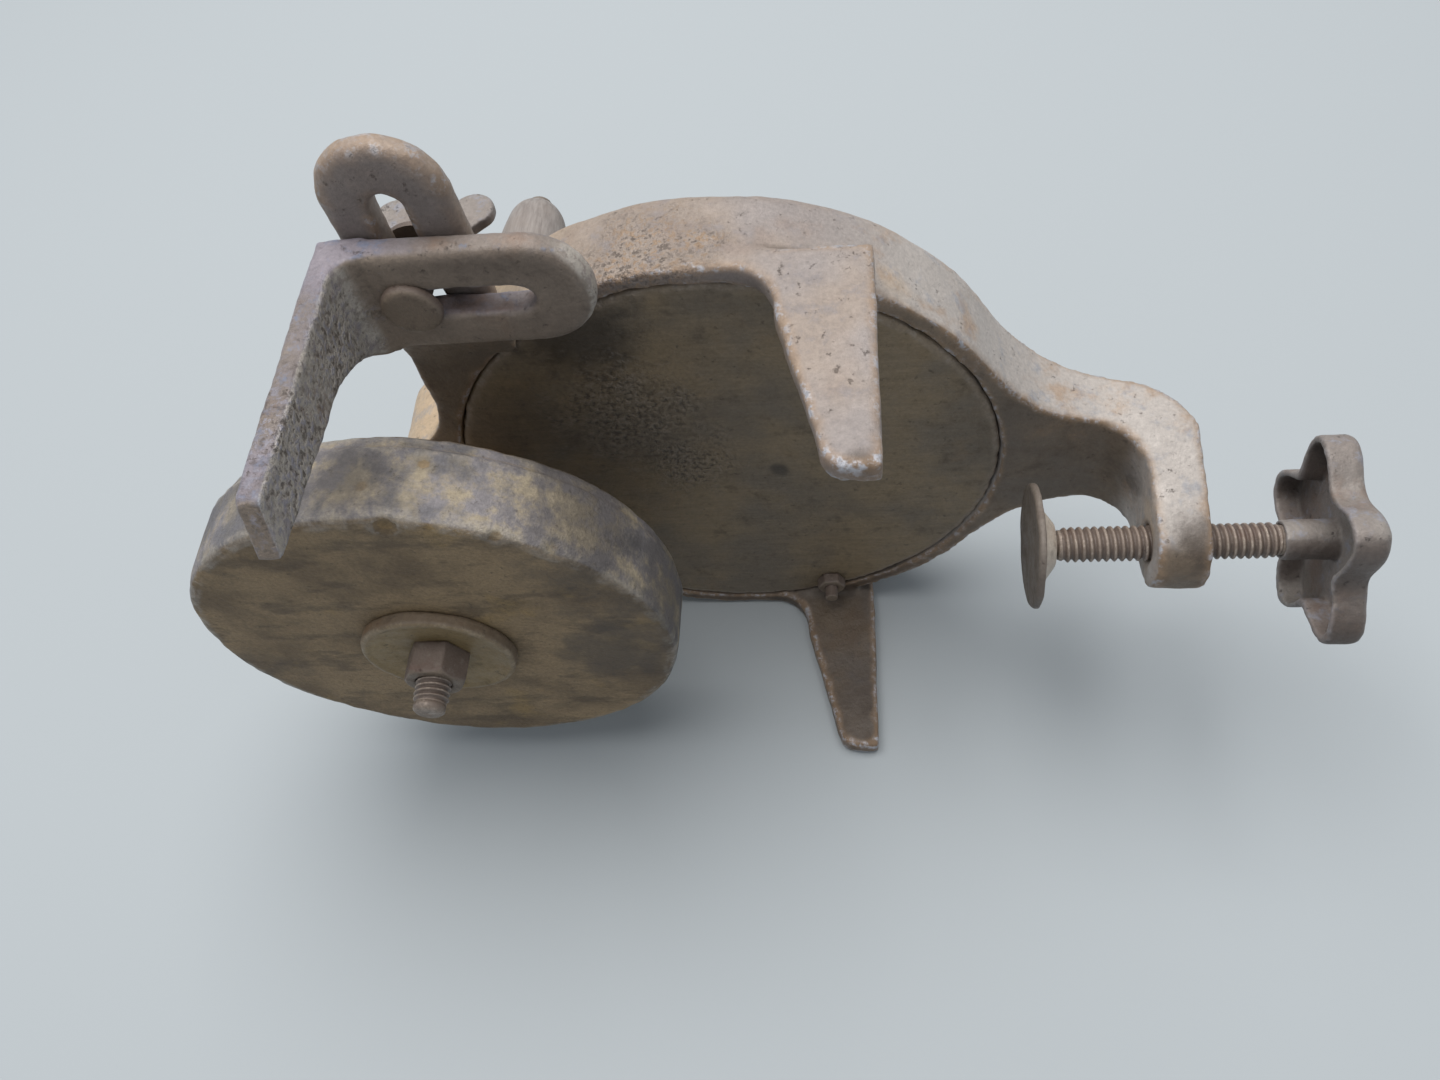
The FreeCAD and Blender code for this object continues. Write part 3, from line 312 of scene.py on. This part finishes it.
def patina(name, tones, mottle=9.0, grain=1.3, lumps=0.5, polish=0.5, drift=None, floor_shade=False,
           reach=None, flakes_and_light=None, grime_and_shade=(), pitted=(), streaks=0.0, relief=1.0):
    """Aged iron: brown oxide of two tones, bluish stains, orange rust, dark pits and rubbed edges
    whose pale tone is partly a painted highlight; some tones paint shade.

    tones holds open, open_2, shaded, shaded_2, stain, rust, pit, brow and edge colours. The open
    pair is the lit tone and the shaded pair is painted shade for faces turned to -Y; brow and edge
    are for what stands out.
    drift is (axis, low, high), in millimetres: where open turns into open_2.
    floor_shade paints shade on the -X end, the side that lies on the floor. reach is (axis, low,
    high, colour) of a tint that grows along it.
    flakes_and_light puts pale flakes on the -Z side, partly flaking and partly painted light on
    that shaded side. relief makes small rises count for more.
    grime_and_shade and pitted are (place, radius) patches; the grime_and_shade patches are
    darkened, partly as grime and partly as painted shade.
    """
    material, tree = start_material(name)
    place = add(tree, "ShaderNodeTexCoord")
    here = place.outputs["Object"]
    apart = add(tree, "ShaderNodeSeparateXYZ", {}, {0: here}).outputs
    facing = add(tree, "ShaderNodeSeparateXYZ", {}, {0: place.outputs["Normal"]}).outputs
    raised = add(tree, "ShaderNodeAttribute", {"attribute_name": "raised"}).outputs["Fac"]
    raised = maths(tree, "MULTIPLY", raised, relief)

    broad = cloud(tree, here, 44, 3.0, 0.55)
    patch = cloud(tree, here, mottle, 9.0, 0.68)
    warm = cloud(tree, here, 23, 8.0, 0.66)
    fine = cloud(tree, here, grain, 5.0, 0.72)
    fleck = cloud(tree, here, 3.1, 6.0, 0.72)

    turn = ramp(tree, broad, 0.38, 0.62)
    if drift:
        axis, low, high = drift
        along = ramp(tree, apart[axis], low * MM, high * MM, -0.2, 0.2)
        turn = ramp(tree, maths(tree, "ADD", broad, along), 0.4, 0.6)
    body = blend(tree, turn, srgb(tones["open"]), srgb(tones["open_2"]))
    body = blend(tree, ramp(tree, patch, 0.52, 0.66, 0, 0.6), body, srgb(tones["stain"]))
    body = blend(tree, ramp(tree, warm, 0.52, 0.68, 0, 0.55), body, srgb(tones["rust"]))
    shaded = blend(tree, ramp(tree, broad, 0.4, 0.62), srgb(tones["shaded"]),
                   srgb(tones["shaded_2"]))
    shaded = blend(tree, ramp(tree, patch, 0.54, 0.68, 0, 0.4), shaded, srgb(tones["pit"]))
    shaded = blend(tree, ramp(tree, warm, 0.55, 0.72, 0, 0.4), shaded, srgb(tones["rust"]))
    # Painted shade: faces turned to -Y take the shaded tones in place of the lit open ones.
    colour = blend(tree, ramp(tree, facing[1], -0.25, -0.8), body, shaded)
    # Painted shade: darker towards the -X end, which lies on the floor under the case.
    if floor_shade:
        colour = blend(tree, ramp(tree, apart[0], -30 * MM, -75 * MM, 0, 0.85), colour,
                       srgb(tones["pit"]))
    if reach:
        axis, low, high, tint = reach
        colour = blend(tree, ramp(tree, apart[axis], low * MM, high * MM, 0, 0.75), colour,
                       srgb(tint))
    # Pale flakes on faces turned to -Z: partly flaking, partly painted light on that shaded side.
    if flakes_and_light:
        flakes_and_light_mask = maths(tree, "MULTIPLY", ramp(tree, facing[2], -0.4, -0.8),
                      ramp(tree, fleck, 0.42, 0.52, 0.35, 1))
        colour = blend(tree, flakes_and_light_mask, colour, srgb(flakes_and_light))

    if streaks:
        lines = cloud(tree, here, 1.6, 4.0, 0.7, (1, 1, 0.09))
        colour = speckle(tree, colour, lines, streaks)
    blotches = ramp(tree, fleck, 0.6, 0.7, 0, 0.65)
    # Darkened patches, partly grime and partly painted shade.
    if grime_and_shade:
        dark = near(tree, here, grime_and_shade, patch)
        blotches = maths(tree, "MAXIMUM", blotches, maths(tree, "MULTIPLY", dark, 0.8))
    colour = blend(tree, blotches, colour, srgb(tones["pit"]))
    colour = blend(tree, ramp(tree, raised, 0.15, 0.6, 0, 0.5), colour, srgb(tones["brow"]))
    # Pale edge tone on what stands out: rubbed bare metal, partly a painted highlight.
    rubbed_and_sheen = maths(tree, "MULTIPLY", ramp(tree, raised, 0.3, 0.7), ramp(tree, fleck, 0.47, 0.62))
    colour = blend(tree, maths(tree, "MULTIPLY", rubbed_and_sheen, 0.75), colour, srgb(tones["edge"]))
    # Painted shade in hollows: what sinks below its surroundings turns to the pit tone, partly
    # grime as well.
    colour = blend(tree, ramp(tree, raised, -0.1, -0.5, 0, 0.6), colour, srgb(tones["pit"]))
    colour = speckle(tree, colour, fine, 0.16)

    roughness = ramp(tree, patch, 0.35, 0.65, polish - 0.1, polish + 0.16)
    metallic = ramp(tree, rubbed_and_sheen, 0, 1, 0.1, 0.5)
    layers = [(fine, 0.2), (patch, lumps), (blotches, -0.2)]
    if pitted:
        worn = near(tree, here, pitted, patch)
        crust = cloud(tree, here, 1.9, 3.0, 0.6)
        flakes = maths(tree, "MULTIPLY", ramp(tree, crust, 0.52, 0.6, 0, 0.7), worn)
        holes = maths(tree, "MULTIPLY", ramp(tree, crust, 0.47, 0.38, 0, 0.7), worn)
        colour = blend(tree, flakes, colour, srgb(tones["brow"]))
        colour = blend(tree, holes, colour, srgb(tones["pit"]))
        layers.append((maths(tree, "MULTIPLY", crust, worn), 1.5))
    finish(tree, colour, roughness, metallic, bumps(tree, layers))
    return material


cast_iron = patina("sand cast grey iron, brown patina", {
    "open": "#bba68c", "open_2": "#aaa39e", "shaded": "#706253", "shaded_2": "#61564b",
    "stain": "#8a8e97", "rust": "#9a7a59", "pit": "#43382f", "brow": "#947a60", "edge": "#b4b8c2"},
    drift=(2, 70, -25), floor_shade=True, reach=(0, 72, 92, "#817876"),
    # The last patch, on the lower foot under the case by the floor, is painted shade.
    grime_and_shade=(((94, -64, 4), 5), ((13, -40, -96), 11), ((3, -6, -86), 9), ((-92, -52, 3), 24)),
    pitted=(((93, 9, 62), 16), ((94, 10, 46), 8)))
cover_iron = patina("sand cast cover plate, greasy patina", {
    "open": "#76674f", "open_2": "#6a5d50", "shaded": "#7c6c55", "shaded_2": "#695e50",
    "stain": "#5c5650", "rust": "#7f6a50", "pit": "#352d25", "brow": "#85786a", "edge": "#948a80"},
    lumps=0.6, grime_and_shade=(((70, 0, 85), 20), ((0, 0, 31.5), 3.2)),
    pitted=(((34, 0, 76), 24), ((6, 0, 60), 16)), streaks=0.12)
rest_iron = patina("sand cast tool rest, rubbed blue", {
    "open": "#857e86", "open_2": "#7b716a", "shaded": "#85786c", "shaded_2": "#70645a",
    "stain": "#6d7b95", "rust": "#7b604c", "pit": "#40362f", "brow": "#8f8e9b", "edge": "#cdd6e6"},
    mottle=6.0, flakes_and_light="#aaa39b", pitted=(((107, -66, 133), 22), ((103, -30, 133), 16)))
dark_iron = patina("sand cast iron, dark rust", {
    "open": "#8b8580", "open_2": "#7a706b", "shaded": "#645b56", "shaded_2": "#544b46",
    "stain": "#8a8d99", "rust": "#6f5646", "pit": "#332b28", "brow": "#8d888a", "edge": "#aeafb8"},
    mottle=5.0)
rusty_steel = patina("turned steel, brown rust", {
    "open": "#6b5e56", "open_2": "#594c45", "shaded": "#736659", "shaded_2": "#62564b",
    "stain": "#7c726b", "rust": "#60443a", "pit": "#3b2f2a", "brow": "#85786e", "edge": "#a2968c"},
    mottle=3.0, grain=0.7, lumps=0.2, polish=0.45)
# relief 2.6 makes crests take the lighter brow and edge tones and roots the pit tone: worn crests
# and rust, partly a painted highlight on crests and painted shade in roots.
thread_steel = patina("cut screw thread, rust in its roots", {
    "open": "#6b5e56", "open_2": "#5c5049", "shaded": "#6b5e56", "shaded_2": "#5c5049",
    "stain": "#6f645d", "rust": "#60443a", "pit": "#2c2320", "brow": "#94867b", "edge": "#b1a498"},
    mottle=3.0, grain=0.7, lumps=0.2, polish=0.45, relief=2.6)
pad_steel = patina("pressed steel pad, pale rust", {
    "open": "#c4b9ac", "open_2": "#b5a99d", "shaded": "#b0a59a", "shaded_2": "#9c9187",
    "stain": "#93897f", "rust": "#7d5d45", "pit": "#43372f", "brow": "#8f8479", "edge": "#6a5e56"},
    mottle=5.0, grain=0.8, lumps=0.25, reach=(2, -50.2, -49.8, "#3b302b"))
flange_steel = patina("turned steel flange, ochre patina", {
    "open": "#6f6152", "open_2": "#7b6b58", "shaded": "#7c6a4b", "shaded_2": "#8b7855",
    "stain": "#5d4f40", "rust": "#75583c", "pit": "#3a3027", "brow": "#6e6152", "edge": "#978a78"},
    mottle=6.0, lumps=0.2)


def bonded_stone():
    """Vitrified abrasive wheel: grit bonded in clay, glazed grey rim, sides soaked brown."""
    material, tree = start_material("vitrified bonded abrasive, oil soaked")
    place = add(tree, "ShaderNodeTexCoord")
    here = place.outputs["Object"]
    raised = add(tree, "ShaderNodeAttribute", {"attribute_name": "raised"}).outputs["Fac"]
    broad = cloud(tree, here, 40, 4.0)
    patch = cloud(tree, here, 12, 9.0, 0.66)
    stain = cloud(tree, here, 27, 7.0, 0.62)
    smear = cloud(tree, here, 15, 7.0, 0.66, (1.6, 1.6, 0.6))
    grit = cloud(tree, here, 1.1, 4.0, 0.7)
    crumb = cloud(tree, here, 2.6, 6.0, 0.7)

    rim = blend(tree, ramp(tree, patch, 0.42, 0.58), srgb("#858184"), srgb("#a0947f"))
    rim = blend(tree, ramp(tree, broad, 0.46, 0.6, 0, 0.8), rim, srgb("#55555a"))
    side = blend(tree, ramp(tree, broad, 0.4, 0.62), srgb("#8a765a"), srgb("#6a5943"))
    side = blend(tree, ramp(tree, smear, 0.48, 0.62, 0, 0.6), side, srgb("#4a3e31"))
    side = blend(tree, ramp(tree, stain, 0.56, 0.68, 0, 0.5), side, srgb("#957c4e"))
    facing = add(tree, "ShaderNodeSeparateXYZ", {}, {0: place.outputs["Normal"]}).outputs[1]
    flat = maths(tree, "ABSOLUTE", facing, 0.0)
    colour = blend(tree, ramp(tree, flat, 0.55, 0.9), rim, side)
    # Glazed grit on the worn edges, lighter grey and less rough; this grey and the pale crests
    # below are partly a painted highlight along the edge.
    glaze_and_glint = maths(tree, "MULTIPLY", ramp(tree, raised, 0.1, 0.4), ramp(tree, patch, 0.4, 0.55))
    colour = blend(tree, maths(tree, "MULTIPLY", glaze_and_glint, 0.35), colour, srgb("#8c8884"))
    colour = blend(tree, ramp(tree, crumb, 0.58, 0.68, 0, 0.55), colour, srgb("#3d352c"))
    colour = blend(tree, ramp(tree, raised, -0.06, -0.35, 0, 0.6), colour, srgb("#8d7550"))
    crest = maths(tree, "MULTIPLY", ramp(tree, raised, 0.22, 0.45), ramp(tree, crumb, 0.5, 0.58))
    colour = blend(tree, maths(tree, "MULTIPLY", crest, 0.4), colour, srgb("#a39a90"))
    colour = speckle(tree, colour, grit, 0.22)
    burnt = (((75, -50, 139), 13), ((48, -46, 80), 24), ((10, -52, 68), 24), ((-8, -63, 82), 20),
             ((-20, -45, 205), 20))
    scorched = near(tree, here, burnt, patch)
    colour = blend(tree, maths(tree, "MULTIPLY", scorched, 0.7), colour, srgb("#403b38"))
    roughness = ramp(tree, glaze_and_glint, 0, 1, 0.75, 0.42)
    finish(tree, colour, roughness, 0.0, bumps(tree, [(grit, 0.3), (crumb, 0.4), (patch, 0.6)]))
    return material


def turned_wood():
    """Hardwood turned on a lathe: grain along the handle, greyed by weather and hands."""
    material, tree = start_material("turned hardwood, weathered")
    here = add(tree, "ShaderNodeTexCoord").outputs["Object"]
    grain = cloud(tree, here, 1.6, 6.0, 0.65, (1.0, 0.08, 1.0))
    blotches = cloud(tree, here, 14)
    colour = blend(tree, ramp(tree, grain, 0.3, 0.7), srgb("#78706c"), srgb("#938c88"))
    colour = blend(tree, ramp(tree, blotches, 0.4, 0.7, 0, 0.6), colour, srgb("#877d76"))
    roughness = ramp(tree, blotches, 0.35, 0.65, 0.45, 0.62)
    finish(tree, colour, roughness, 0.0, bumps(tree, [(grain, 0.25)]))
    return material


def worked_metal(name, light, dark, metallic, roughness):
    """Machined metal inside the case: its own colour under a thin film of old grease."""
    material, tree = start_material(name)
    here = add(tree, "ShaderNodeTexCoord").outputs["Object"]
    film = cloud(tree, here, 7, 5.0)
    marks = cloud(tree, here, 0.7, 2.0)
    colour = blend(tree, ramp(tree, film, 0.35, 0.65), srgb(light), srgb(dark))
    finish(tree, colour, ramp(tree, film, 0.3, 0.7, roughness - 0.1, roughness + 0.1), metallic,
           bumps(tree, [(marks, 0.05)]))
    return material


stone = bonded_stone()
wood = turned_wood()
bronze = worked_metal("cast bronze bearing, dull", "#9c7b48", "#6e5633", 0.9, 0.45)
lead = worked_metal("poured lead, dull", "#77787a", "#5c5d5f", 0.8, 0.55)
gear_iron = worked_metal("cut gear iron, greasy", "#6f6a64", "#3e3832", 0.75, 0.4)


# Threads, made by a tree of geometry nodes

def thread_tree():
    tree = bpy.data.node_groups.new("worn screw thread", "GeometryNodeTree")
    sockets = {}
    tree.interface.new_socket("Geometry", in_out="INPUT", socket_type="NodeSocketGeometry")
    for name, kind in (("Length", "Float"), ("Radius", "Float"), ("Ridge", "Float"),
                       ("Pitch", "Float"), ("Runout", "Float"), ("Rings", "Int"),
                       ("Material", "Material")):
        socket = tree.interface.new_socket(name, in_out="INPUT", socket_type="NodeSocket" + kind)
        sockets[name] = socket.identifier
    tree.interface.new_socket("Geometry", in_out="OUTPUT", socket_type="NodeSocketGeometry")
    given = add(tree, "NodeGroupInput").outputs

    def sum_up(kind, first, second=0.0):
        return add(tree, "ShaderNodeMath", {"operation": kind}, {0: first, 1: second}).outputs[0]

    rod = add(tree, "GeometryNodeMeshCylinder", {"fill_type": "TRIANGLE_FAN"},
              {"Vertices": 56, "Side Segments": given["Rings"], "Radius": given["Radius"],
               "Depth": given["Length"]}).outputs["Mesh"]
    spot = add(tree, "GeometryNodeInputPosition").outputs[0]
    apart = add(tree, "ShaderNodeSeparateXYZ", {}, {0: spot}).outputs
    angle = sum_up("DIVIDE", sum_up("ARCTAN2", apart[1], apart[0]), 2 * math.pi)
    phase = sum_up("SUBTRACT", sum_up("DIVIDE", apart[2], given["Pitch"]), angle)
    wave = sum_up("MULTIPLY_ADD", sum_up("COSINE", sum_up("MULTIPLY", phase, 2 * math.pi)), 0.5)
    wave.node.inputs[2].default_value = 0.5
    end = sum_up("SUBTRACT", sum_up("MULTIPLY", given["Length"], 0.5), sum_up("ABSOLUTE", apart[2]))
    fade = add(tree, "ShaderNodeClamp", {}, {0: sum_up("DIVIDE", end, given["Runout"])}).outputs[0]
    rise = sum_up("MULTIPLY", sum_up("MULTIPLY", wave, given["Ridge"]), fade)
    root = sum_up("SUBTRACT", given["Radius"], given["Ridge"])
    factor = sum_up("DIVIDE", sum_up("ADD", root, rise), given["Radius"])
    shaped = add(tree, "ShaderNodeCombineXYZ", {},
                 {0: sum_up("MULTIPLY", apart[0], factor), 1: sum_up("MULTIPLY", apart[1], factor),
                  2: apart[2]})
    moved = add(tree, "GeometryNodeSetPosition", {},
                {"Geometry": rod, "Position": shaped.outputs[0]})
    plain = add(tree, "GeometryNodeRealizeInstances", {}, {0: moved.outputs[0]})
    coated = add(tree, "GeometryNodeSetMaterial", {},
                 {0: plain.outputs[0], "Material": given["Material"]})
    add(tree, "NodeGroupOutput", {}, {0: coated.outputs[0]})
    return tree, sockets


thread_group, thread_sockets = thread_tree()


def threaded(name, low, high, radius, ridge, pitch, place, axis, material):
    """Threaded length from low to high along an axis through place, all in millimetres."""
    piece = new_piece(name, bpy.data.meshes.new(name))
    work = piece.modifiers.new("thread", "NODES")
    work.node_group = thread_group
    rings = math.ceil((high - low) / pitch * RINGS_PER_TURN)
    sizes = {"Length": (high - low) * MM, "Radius": radius * MM, "Ridge": ridge * MM,
             "Pitch": pitch * MM, "Runout": pitch * MM, "Rings": rings, "Material": material}
    for key, value in sizes.items():
        work[thread_sockets[key]] = value
    settle(piece)
    turn = UP.rotation_difference(axis).to_matrix().to_4x4()
    middle = Vector(place) + axis * (low + high) / 2
    piece.data.transform(Matrix.Translation(middle * MM) @ turn)
    return piece


# Pieces

def dress(piece, body, slot, material, *nodes):
    """Gives a piece its material and body, and hides the solids it stands for. The slot argument is
    not used.

    The 'raised' attribute holds how far each point stands out, for the worn and dirty tones, the
    painted highlight on edges and the painted shade in hollows.
    """
    raised = piece.data.attributes.new("raised", "FLOAT", "POINT")
    raised.data.foreach_set("value", standing_out(piece, 8))
    piece.data.materials.clear()
    piece.data.materials.append(material)
    if nodes:
        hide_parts(*nodes)
    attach(piece, body)
    return piece


case = skin("case_casting", ("gear_case",), 1.2, 7, ((79, -6, 100), (144, 6, 138), 9))
dress(wear(undulate(case, ((0.5, 22), (0.2, 5)), 1), 0.5, 9, 11), "frame_body", "cast_iron_brown",
      cast_iron, "gear_case")
cover = undulate(skin("cover_plate", ("case_cover",), 1.2, 3), ((0.35, 26), (0.15, 6)), 2)
dress(wear(cover, 0.6, 8, 12), "frame_body", "cast_iron_brown", cover_iron, "case_cover")
dress(skin("cover_hex_nuts", ("cover_nuts",), 0.35, 6), "frame_body", "plain_steel", rusty_steel,
      "cover_nuts")
dress(skin("cover_stud_ends", ("cover_studs",), 0.35, 6), "frame_body", "plain_steel", rusty_steel,
      "cover_studs")
dress(skin("rear_plug", ("spindle_bush_rear",), 0.8, 4), "frame_body", "cast_iron_brown", dark_iron,
      "spindle_bush_rear")
dress(skin("idler_hex_nut", ("idler_stud_nut",), 0.45, 5), "frame_body", "plain_steel", rusty_steel,
      "idler_stud_nut")
dress(wear(undulate(skin("crank_casting", ("crank_arm",), 0.9, 9), ((0.4, 15),), 3), 0.6, 8, 13),
      "crank", "cast_iron_brown", dark_iron, "crank_arm")
dress(skin("crank_hex_nut", ("crank_nut",), 0.45, 6), "crank", "plain_steel", rusty_steel,
      "crank_nut")
dress(undulate(skin("turned_handle", ("handle_grip",), 0.8, 5), ((0.25, 12),), 4),
      "grip", "turned_wood", wood, "handle_grip")
rest = undulate(skin("rest_casting", ("tool_rest",), 0.65, 12), ((0.3, 14), (0.12, 3)), 5)
dress(wear(rest, 0.5, 8, 14), "rest", "cast_iron_brown", rest_iron, "tool_rest")
dress(undulate(skin("round_bolt", ("rest_bolt",), 0.5, 8), ((0.4, 6),), 9), "bolt", "plain_steel",
      rusty_steel, "rest_bolt")
dress(skin("handle_bolt_ends", ("handle_bolt",), 0.6, 5), "crank", "plain_steel", pad_steel,
      "handle_bolt")
dress(undulate(skin("wing_casting", ("wing_nut",), 0.55, 14), ((0.2, 7),), 6),
      "lock_nut", "cast_iron_brown", dark_iron, "wing_nut")
knob = skin("knob_casting", ("clamp_knob", "knob_pin"), 0.6, 10)
dress(wear(undulate(knob, ((0.35, 11), (0.12, 3)), 7), 0.5, 6, 15), "screw", "cast_iron_brown",
      dark_iron, "clamp_knob", "knob_pin")
dress(undulate(skin("pad_disc", ("clamp_pad",), 0.45, 5), ((0.2, 6),), 10), "pad", "plain_steel",
      pad_steel, "clamp_pad")
dress(skin("back_flange", ("inner_flange",), 0.7, 4), "wheel_spindle", "cast_iron_brown", dark_iron,
      "inner_flange")
dress(wear(skin("wheel_hex_nut", ("wheel_nut",), 0.4, 7), 0.4, 3, 16), "wheel_spindle",
      "plain_steel", rusty_steel, "wheel_nut")

spindle_axis = (0, 0, SPINDLE_Z)
flange_profile = [(6.45, -62.5), (23.3, -62.5), (24.0, -63.1), (24.0, -66.4), (23.6, -67.1),
                  (22.8, -67.4), (21.9, -67.3), (21.2, -66.8), (17.5, -66.1), (10.5, -65.2),
                  (6.45, -65.1)]
flange = turned("front_flange", refine(flange_profile, 0.9), spindle_axis, ALONG, 150)
dress(undulate(flange, ((0.3, 9), (0.15, 3)), 17), "wheel_spindle", "flange_steel", flange_steel,
      "outer_flange")

# The front edge is worn round, and there is a shallow step in the rim near the back
wheel_profile = [(WHEEL_BORE, WHEEL_FRONT), (WHEEL_RADIUS - 3.4, WHEEL_FRONT),
                 (WHEEL_RADIUS - 1.5, WHEEL_FRONT + 0.5), (WHEEL_RADIUS - 0.6, WHEEL_FRONT + 1.5),
                 (WHEEL_RADIUS - 0.2, WHEEL_FRONT + 3.4), (WHEEL_RADIUS, WHEEL_FRONT + 8.0),
                 (WHEEL_RADIUS, WHEEL_BACK - 6.0), (WHEEL_RADIUS - 1.2, WHEEL_BACK - 4.6),
                 (WHEEL_RADIUS - 1.8, WHEEL_BACK - 1.6), (WHEEL_RADIUS - 3.2, WHEEL_BACK),
                 (WHEEL_BORE, WHEEL_BACK)]
wheel = turned("wheel_stone", refine(wheel_profile, 1.3), spindle_axis, ALONG, 380)
wear(undulate(wheel, ((0.4, 34), (0.12, 9), (0.08, 2.6)), 8), 0.4, 11, 18, 12)
chips = (((71, -62, 128), 3.5, 1.6), ((69, -60, 117), 2.5, 1.2), ((64, -62, 100), 2.2, 1.0),
         ((74, -52, 135), 2.6, 0.9), ((73, -44, 120), 2.2, 0.9), ((55, -61, 86), 4.0, 1.2))
dress(chip(wheel, chips), "wheel_spindle", "bonded_stone", stone, "grinding_wheel")

screw_axis = (0, SCREW_Y, 0)
dress(threaded("clamp_thread", -119.6, -54.9, 5.5, 0.95, 2.31, screw_axis, UP, thread_steel),
      "screw", "plain_steel", thread_steel, "clamp_screw")
stem = refine([(0.01, -137.1), (4.6, -137.1), (4.6, -119.8), (0.01, -119.8)], 2.0)
dress(turned("clamp_stem", stem, screw_axis, UP, 40), "screw", "plain_steel", rusty_steel,
      "clamp_screw")
neck = [(0.01, -55.0), (3.4, -55.0), (3.4, -50.9), (5.0, -50.9), (5.0, -48.8), (0.01, -48.8)]
dress(turned("clamp_neck", neck, screw_axis, UP, 40), "screw", "plain_steel", rusty_steel,
      "clamp_screw")
dress(threaded("spindle_thread", -82.9, -61.3, 5.5, 0.9, 1.81, spindle_axis, ALONG, thread_steel),
      "wheel_spindle", "plain_steel", thread_steel, "spindle")
rod = refine([(0.01, -85.5), (3.9, -85.5), (4.9, -84.6), (4.9, -82.8), (4.5, -82.6), (4.5, -61.5),
              (6.35, -61.4), (6.35, 38.6), (0.01, 38.6)], 3.0)
dress(turned("spindle_rod", rod, spindle_axis, ALONG, 48), "wheel_spindle", "plain_steel",
      rusty_steel, "spindle")

# The solids that no made piece stands for are drawn as they are, in the finish of their slot
finishes = {"cast_iron_brown": cast_iron, "plain_steel": rusty_steel, "gear_iron": gear_iron,
            "bearing_bronze": bronze, "bush_lead": lead, "bonded_stone": stone,
            "flange_steel": flange_steel, "turned_wood": wood}
for row in frame["record"]["subparts"]:
    solid = frame["nodes"][row["node"]]
    for place in solid.material_slots:
        place.material = finishes[row["material_slot"]]


# Floor, light and camera

FLOOR_X = -94.9
floor_mesh = bpy.data.meshes.new("floor")
FLOOR_HALF = 4.0
floor_mesh.from_pydata([(FLOOR_X * MM, y * FLOOR_HALF, z * FLOOR_HALF)
                        for y, z in ((-1, -1), (1, -1), (1, 1), (-1, 1))], [], [(0, 1, 2, 3)])
floor = new_piece("floor", floor_mesh)
floor_material, tree = start_material("plain pale floor, clear from behind")
shade = add(tree, "ShaderNodeBsdfDiffuse", {}, {"Color": srgb("#aeb5ba")})
# Light that the floor sends up to the machine is partly even, as from a large room, so that the
# side that lies on the floor doesn't turn black when it is seen from behind.
even = add(tree, "ShaderNodeEmission", {}, {"Color": srgb("#aeb5ba"), "Strength": 1.15})
bounced = add(tree, "ShaderNodeLightPath").outputs["Is Diffuse Ray"]
upward = maths(tree, "MULTIPLY", bounced, 0.4)
shade = add(tree, "ShaderNodeMixShader", {}, {0: upward, 1: shade.outputs[0], 2: even.outputs[0]})
clear = add(tree, "ShaderNodeBsdfTransparent")
behind = add(tree, "ShaderNodeNewGeometry").outputs["Backfacing"]
pick = add(tree, "ShaderNodeMixShader", {}, {0: behind, 1: shade.outputs[0], 2: clear.outputs[0]})
add(tree, "ShaderNodeOutputMaterial", {}, {"Surface": pick.outputs[0]})
floor_mesh.materials.append(floor_material)

world = bpy.data.worlds.new("studio")
bpy.context.scene.world = world
world.use_nodes = True
tree = world.node_tree
tree.nodes.clear()
ray = add(tree, "ShaderNodeLightPath").outputs
seen = maths(tree, "MAXIMUM", maths(tree, "MAXIMUM", ray["Is Camera Ray"], ray["Is Glossy Ray"]),
             ray["Is Transmission Ray"])
ambient = add(tree, "ShaderNodeBackground", {}, {"Color": srgb("#e6eaee"), "Strength": 0.46})
backdrop = add(tree, "ShaderNodeBackground", {}, {"Color": srgb("#ccd2d6"), "Strength": 1.0})
pick = add(tree, "ShaderNodeMixShader", {},
           {0: seen, 1: ambient.outputs[0], 2: backdrop.outputs[0]})
add(tree, "ShaderNodeOutputWorld", {}, {"Surface": pick.outputs[0]})


def soft_lamp(name, place, size, power, tint):
    data = bpy.data.lights.new(name, "AREA")
    data.shape = "DISK"
    data.size = size
    data.energy = power
    data.color = srgb(tint)[:3]
    lamp = bpy.data.objects.new(name, data)
    bpy.context.scene.collection.objects.link(lamp)
    lamp.location = place
    lamp.rotation_euler = (Vector((0, 0, 0.05)) - Vector(place)).to_track_quat("-Z", "Y").to_euler()
    lamp.visible_camera = False


soft_lamp("sky_lamp", (1.7, 0.35, 0.2), 1.9, 43.5, "#fbf8f4")

camera_data = bpy.data.cameras.new("camera")
camera_data.lens = 27.42
camera_data.sensor_width = 36
camera = bpy.data.objects.new("camera", camera_data)
bpy.context.scene.collection.objects.link(camera)
right = Vector((-0.11825637, 0.04207678, -0.99209121))
down = Vector((-0.50957066, -0.86008667, 0.02426218))
ahead = Vector((-0.85226356, 0.50840973, 0.12315182))
turn = Matrix((right, -down, -ahead)).transposed()
camera.matrix_world = Matrix.Translation(Vector((301.63, -206.35, 6.51)) * MM) @ turn.to_4x4()
camera_data.clip_start = 0.01
bpy.context.scene.camera = camera
bpy.context.scene.view_settings.view_transform = "Standard"
